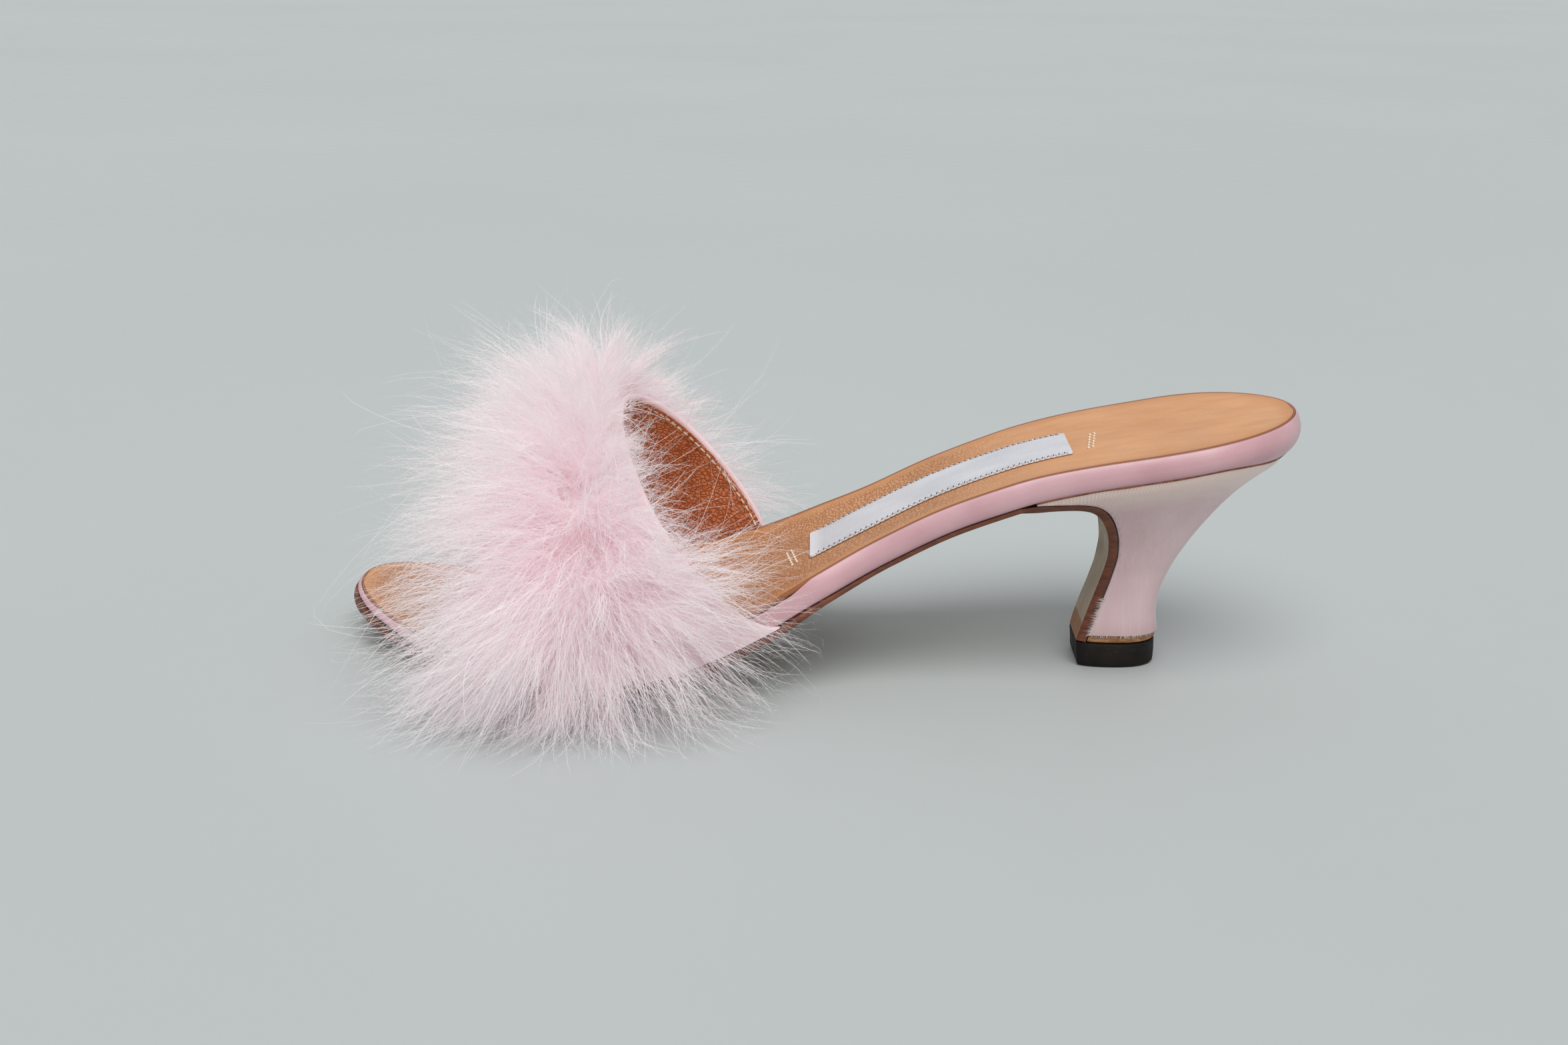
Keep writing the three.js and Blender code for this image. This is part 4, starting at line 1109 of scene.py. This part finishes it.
def make_fray():
    """The satin's loose threads, down the heel's breast and along the lift."""
    count = BREAST_FIBRES
    z = rng.uniform(HEEL_BOTTOM, FRAY_TOP, count)
    x = flap_back_at(z) - 0.25
    side = rng.choice([-1, 1], count)
    y = np.where(side > 0, heel_side_at(x, z, 1), heel_side_at(x, z, -1)) + side * 0.05
    ahead, aside = rng.uniform(0.7, 1.2, count), side * rng.uniform(0, 0.4, count)
    up = rng.uniform(-0.5, 0.3, count)
    lengths, bend = rng.uniform(0.5, 2.1, count), rng.normal(0, 0.2, (count, 3))
    starts, ways = np.stack([x, y, z], -1), np.stack([ahead, aside, up], -1)
    points, faces = fibres(starts, ways, lengths, 0.05, bend)
    count = LIFT_FIBRES
    shares = rng.uniform(0, FRAY_SHARE, count)
    side = rng.choice([-1, 1], count)
    starts = foot_point(shares, side, HEEL_BOTTOM + rng.uniform(-0.1, 0.5, count), 0.05)
    ways = np.stack([rng.normal(0, 0.25, count), side * rng.uniform(0, 0.3, count), -np.ones(count)], -1)
    lengths, bend = rng.uniform(0.3, 1.2, count), rng.normal(0, 0.12, (count, 3))
    more, more_faces = fibres(starts, ways, lengths, 0.045, bend)
    points, faces = np.concatenate([points, more]), np.concatenate([faces, more_faces + len(points)])
    make_object("satin_fray", points, faces, [white_thread], weld=False)


make_sock()
make_rim()
make_outsole()
make_heel()
make_foot()
make_band()
make_label()
make_stitches()
make_seam_shadow()
make_fray()

# The feather trim
SKIN = BAND_WALL + CLEARANCE
TUFT_SIZE, TUFT_SPREAD, TUFT_SEED = 17, 26, 90
# Shares of the feathers: near the boa's ends, of those on the outside, and short where they lean to the rear
END_SHARE, OUTSIDE_SHARE, SHORT_SHARE = 0.34, 0.6, 0.84
FAN_REAR, FAN_AHEAD, FAN_TURN = -1.08, 1.1, 1.32
DROOP, EDGE_RELEASE = 0.17, 9
# The room round the solid boa that barbs may fill, and how softly they turn at its border and the floor
ROOM, ROOM_EASE, FLOOR_EASE = 7.0, 4, 3
LOW_CORNER, HIGH_CORNER = (np.array(corner) / MM - TO_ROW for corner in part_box("marabou"))


def core_thickness(x, angle):
    low = 1 - smooth((np.minimum(angle, np.pi - angle) - CORE_MARGIN) / SKIRT_RISE)
    hump = np.exp(-(((x - BOA_AT) / (lerp(1.2, 1.8, low) * BOA_PILE)) ** 2))
    return 1.5 + (0.15 + 0.85 * hump) * BOA_PILE * lerp(1, SKIRT_SPREAD, low)


def boa_frame(x, angle):
    along = unit(arch_point(x, angle + 0.02, SKIN) - arch_point(x, angle - 0.02, SKIN))
    ahead = unit(arch_point(x + 1, angle, SKIN) - arch_point(x - 1, angle, SKIN))
    normal = unit(np.cross(ahead, along))
    outward = np.stack([0 * angle, np.cos(angle), np.sin(angle)], -1)
    return along, ahead, normal * np.sign((normal * outward).sum(-1, keepdims=True))


def feathers(count, reach, seed):
    """Roots, ways and lengths of small feathers all along the boa."""
    local = np.random.default_rng(seed)

    def draw(low, high):
        return local.uniform(low, high, count)

    even = (np.arange(count) + draw(0, 1)) / count
    low = draw(0.12, 0.5)
    low = np.where(draw(0, 1) < OUTSIDE_SHARE, low, np.pi - low)
    at_end = draw(0, 1) < END_SHARE
    angle = np.where(at_end, low, lerp(0.3, np.pi - 0.3, even))
    fan = draw(FAN_REAR, FAN_AHEAD)
    width = np.where(fan < 0, 18, 6) * np.cos(angle) ** 4 + 4
    x = BOA_AT + width * fan * draw(0.6, 1.1) + local.normal(0, 2.4, count)
    x = np.clip(x, band_rear(angle) + 6.5, band_front(angle) - 2)
    along, ahead, normal = boa_frame(x, angle)
    root = arch_point(x, angle, SKIN + 0.45 * core_thickness(x, angle) * draw(0.2, 1))
    end_dip, side_dip = draw(0.15, 0.85), 0.5 * np.cos(angle) ** 2 * draw(0.2, 1.4)
    dip = np.where(at_end, end_dip, side_dip)
    down = np.where(angle < np.pi / 2, -1, 1)
    turn = fan * FAN_TURN
    shares = np.cos(turn) * (1 - 0.6 * dip) + 0.1, np.sin(turn), down * dip * np.cos(turn)
    way = sum(axis * share[:, None] for axis, share in zip((normal, ahead, along), shares))
    way = unit(way + local.normal(0, 0.16, (count, 3)))
    place = root + TUFT_SPREAD * way
    pull = np.stack([wobble(place, TUFT_SIZE, TUFT_SEED + k) for k in range(3)], -1)
    way = unit(way + 0.95 * pull)
    ahead_share = np.maximum(0, fan)
    outside = smooth((np.cos(angle) + 0.1) / 0.9)
    length = reach * np.where(at_end, 1.02 + 0.12 * ahead_share, 0.78 + 0.3 * outside + 0.5 * ahead_share)
    length *= draw(0.7, 1.1) * (1 - 0.18 * np.sin(angle) ** 4)
    length *= 1 + 0.45 * wobble(place, TUFT_SIZE, TUFT_SEED + 3)
    short = draw(0, 1) < SHORT_SHARE
    length *= 1 - 0.68 * short * smooth((0.1 - fan) / 0.5) * np.sin(angle) ** 1.5
    return root, way, np.minimum(length, 1.2 * reach)


def barbs(root, way, length, per, steps, seed, spread_by, curl_by):
    """Barbs that leave both sides of each feather's shaft and curve back along it, as paths."""
    local = np.random.default_rng(seed)
    total = len(root) * per
    plane = unit(np.cross(way, local.normal(size=(len(root), 3))))
    start = local.uniform(0, 0.55, (total, 1)) ** 1.1
    side = local.choice([-1, 1], (total, 1))
    root, axis, plane = (np.repeat(v, per, axis=0) for v in (root, way, plane))
    span = np.repeat(length, per)[:, None]
    lean = unit(plane * side + 0.55 * local.normal(size=(total, 3)))
    opened = spread_by * local.uniform(0.25, 1.0, (total, 1)) * (1.15 - start)
    reach = span * (1 - start) * local.uniform(0.72, 1.08, (total, 1))
    curl = unit(np.cross(axis, local.normal(size=(total, 3))))
    curl = curl * reach * local.normal(0, curl_by, (total, 1))
    ripple = local.normal(0, 0.55, (total, 3))
    pace, phase = local.uniform(3, 8, (total, 1, 1)), local.uniform(0, 6, (total, 1, 1))
    s = np.linspace(0, 1, steps + 1)[None, :, None]
    path = (root + axis * span * start)[:, None] + (axis * reach * (1 - 0.12 * opened))[:, None] * s
    path += (lean * reach * opened)[:, None] * (s - 0.42 * s**2) + curl[:, None] * s**2.4
    path += ripple[:, None] * np.sin(s * pace + phase) * s
    travelled = (span * start)[:, None] + reach[:, None] * s
    path[..., 2:] -= DROOP * travelled**2 / np.maximum(span, 1)[:, None]
    return path


def clear_of_shoe(path):
    """Brings what would run through the band or the sole out to its skin, freed past the band's edges."""
    x = path[..., 0]
    near = np.clip(x, BAND_REAR_OUTSIDE, BAND_FRONT_TOP)
    outside, inside = bed_edge(near, 1), bed_edge(near, -1)
    middle, foot = ((outside[..., k] + inside[..., k]) / 2 for k in (1, 2))
    half = (outside[..., 1] - inside[..., 1]) / 2 + SKIN
    across, up = path[..., 1] - middle, path[..., 2] - foot
    rise_share = np.maximum(up, 0) / (arch_rise(near, foot) + SKIN)
    shift = 0 * across
    for _ in range(3):
        aside = (across - shift) / half
        level_way = np.sign(aside) * np.abs(aside) ** (ARCH_EXPONENT / 2)
        angle = np.arctan2(rise_share ** (ARCH_EXPONENT / 2), level_way)
        shift = arch_shift(angle)
    level = (np.abs(aside) ** ARCH_EXPONENT + rise_share**ARCH_EXPONENT) ** (1 / ARCH_EXPONENT)
    past = np.maximum(np.maximum(band_rear(angle) - x, x - band_front(angle)), 0)
    push = np.maximum((1 - past / EDGE_RELEASE) / np.maximum(level, 0.3), 1)
    path[..., 1] = middle + shift + (across - shift) * push
    path[..., 2] = foot + up * np.where(up > 0, push, 1)
    station = np.clip(x, 0, SOLE_LENGTH)
    share = station / SOLE_LENGTH
    side = (path[..., 1] - centre(share) * BALL_WIDTH) / (half_width(share) * BALL_WIDTH / 2)
    over = (np.abs(side) < tip_cap(station)) & (path[..., 2] > sole_line(station) + sole_at(station))
    top = sole_line(station) + stack_at(station) + 0.3
    path[..., 2] = np.where(over, np.maximum(path[..., 2], top), path[..., 2])
    return path


def rest_on_floor(path, seed):
    """Keeps the paths inside the trim's room and over the floor, where low ones lie along it."""
    local = np.random.default_rng(seed)
    path = clear_of_shoe(path)
    ease = local.uniform(0.25, 2.6, (len(path), 1)) + FLOOR_EASE
    z = path[..., 2]
    settled = ease + FLOOR_EASE * (np.exp(np.minimum((z - ease) / FLOOR_EASE, 0)) - 1)
    path[..., 2] = np.maximum(np.where(z < ease, settled, z), 0.2)
    for k in range(3):
        high = HIGH_CORNER[k] + ROOM - ROOM_EASE
        over = np.maximum((path[..., k] - high) / ROOM_EASE, 0)
        path[..., k] = np.where(over > 0, high + ROOM_EASE * np.tanh(over), path[..., k])
    for k in range(2):
        low = LOW_CORNER[k] - ROOM + ROOM_EASE
        under = np.maximum((low - path[..., k]) / ROOM_EASE, 0)
        path[..., k] = np.where(under > 0, low - ROOM_EASE * np.tanh(under), path[..., k])
    return path


def barbules(path, way, across, count, longest, local):
    """Fine triangles off both sides of the paths: their corners, and how near the tip each stands."""
    total, steps = len(path), path.shape[1] - 1
    where = (np.arange(count) + local.uniform(0, 1, (total, count))) / count * 0.93
    cell = np.minimum((where * steps).astype(int), steps - 1)
    row = np.arange(total)[:, None]
    base = lerp(path[row, cell], path[row, cell + 1], (where * steps - cell)[..., None])
    heading = way[row, cell]
    side = np.where(np.arange(count) % 2 == 0, 1, -1)[None, :, None]
    lean = unit(across[row, cell] * side + 0.5 * local.normal(size=base.shape))
    slant = local.uniform(0.45, 0.95, (total, count, 1))
    size = longest * (1 - 0.75 * where[..., None] ** 1.5) * local.uniform(0.5, 1.15, (total, count, 1))
    end = base + size * (heading * np.cos(slant) + lean * np.sin(slant))
    end[..., 2] = np.maximum(end[..., 2], 0.15)
    foot = heading * 0.038
    corners = np.stack([base - foot, base + foot, end], 2).reshape(-1, 3)
    return corners, np.repeat(np.minimum(where + 0.12, 1).ravel(), 3)


def plumes(name, path, ribbon, material, seed, tip_from):
    """Ribbons along the paths with barbules on both sides, in one mesh. The ribbon says how wide it is at its
    root and tip, how many barbules it has, and how long they are."""
    root_width, tip_width, count, longest = ribbon
    local = np.random.default_rng(seed)
    total, nodes = path.shape[:2]
    s = np.linspace(0, 1, nodes)
    way = unit(np.gradient(path, axis=1))
    across = unit(np.cross(way, unit(local.normal(size=(total, 1, 3)))))
    width = lerp(root_width, tip_width, s**0.8)[None, :, None] * local.uniform(0.7, 1.2, (total, 1, 1))
    half = across * width / 2
    sides = np.stack([path - half, path + half], 2)[:, :-1].reshape(total, -1, 3)
    points = np.concatenate([sides, path[:, -1:]], 1)
    last = 2 * nodes - 2
    pattern = []
    for i in range(0, last - 2, 2):
        pattern += [(i, i + 1, i + 3), (i, i + 3, i + 2)]
    pattern.append((last - 2, last - 1, last))
    faces = np.arange(total)[:, None, None] * points.shape[1] + np.array(pattern)
    corners, heights = barbules(path, way, across, count, longest, local)
    more = np.arange(len(corners)).reshape(-1, 3) + total * points.shape[1]
    points = np.concatenate([points.reshape(-1, 3), corners])
    tips = np.r_[np.tile(np.r_[np.repeat(s[:-1], 2), 1], total), heights]
    faces = np.concatenate([faces.reshape(-1, 3), more])
    values = {"tip": lerp(tip_from, 1, tips)}
    return make_object(name, points, faces, [material], values, weld=False)


def make_feathers(name, seed, feather_set, barb_set, ribbon, material, tip_from=0.0):
    """A piece of the trim: its feathers' count and reach, its barbs' count, steps, spread and curl."""
    count, steps, spread_by, curl_by = barb_set
    path = barbs(*feathers(*feather_set, seed), count, steps, seed + 1, spread_by, curl_by)
    return plumes(name, rest_on_floor(path, seed + 2), ribbon, material, seed + 3, tip_from)


def make_marabou():
    core = make_feathers("marabou_down", 31, (760, 17), (12, 4, 0.9, 0.2), (0.2, 0.08, 6, 3.0), down_material)
    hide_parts("marabou")
    for part, seed in enumerate((41, 51, 61)):
        name = f"marabou_barbs_{part + 1}"
        make_feathers(name, seed, (430, 38), (16, 6, 0.72, 0.22), (0.14, 0.045, 16, 2.9), barb_material)
    wisps = (9, 9, 0.85, 0.42), (0.13, 0.055, 8, 1.5)
    make_feathers("marabou_wisps", 71, (280, 43), *wisps, wisp_material, tip_from=0.3)


make_marabou()

# The stage: a seamless pale floor, a broad soft light from above and a pale surround
FLOOR_NEAR, FLOOR_BACK, FLOOR_SIDE, CURVE_RADIUS, WALL_TOP = 60.0, -14.0, 16.0, 2.0, 6.0
FLOOR_DROP = 5e-5


def make_stage():
    floor = Finish("pale_floor")
    floor.set("Base Color", floor.grade(floor.noise(2.2, 2), 0.3, 0.7, (184, 190, 190), (187, 193, 193)))
    floor.rough(floor.noise(60, 3), 0.5, 0.6)
    turns = np.linspace(0, math.pi / 2, 24)
    curve = [(FLOOR_BACK - CURVE_RADIUS * math.sin(t), CURVE_RADIUS * (1 - math.cos(t))) for t in turns]
    profile = [(FLOOR_NEAR, 0.0), *curve, (FLOOR_BACK - CURVE_RADIUS, WALL_TOP)]
    points = [(x, y, z - FLOOR_DROP) for y, z in profile for x in (-FLOOR_SIDE, FLOOR_SIDE)]
    mesh = bpy.data.meshes.new("floor")
    mesh.from_pydata(points, [], [(2 * i, 2 * i + 1, 2 * i + 3, 2 * i + 2) for i in range(len(profile) - 1)])
    mesh.materials.append(floor.material)
    mesh.shade_smooth()
    made = bpy.data.objects.new("floor", mesh)
    bpy.context.collection.objects.link(made)
    world = bpy.data.worlds.new("surround")
    world.use_nodes = True
    sky = world.node_tree.nodes["Background"].inputs
    sky["Color"].default_value, sky["Strength"].default_value = (0.97, 0.985, 1.0, 1), 0.42
    bpy.context.scene.world = world


def soft_light(name, way, spread_deg, power, colour=(1, 1, 1)):
    """A light from far away that shines along way, as wide as a sky of spread_deg."""
    data = bpy.data.lights.new(name, "SUN")
    data.angle, data.energy, data.color = math.radians(spread_deg), power, colour
    made = bpy.data.objects.new(name, data)
    made.rotation_euler = Vector(way).to_track_quat("-Z", "Y").to_euler()
    bpy.context.collection.objects.link(made)


make_stage()
soft_light("window", (0.05, -0.6, -1), 50, 2.2, (1, 0.99, 0.975))
soft_light("fill", (-0.3, 0.6, -0.8), 70, 0.18)
bpy.context.scene.view_settings.view_transform = "Standard"

bpy.context.view_layer.update()
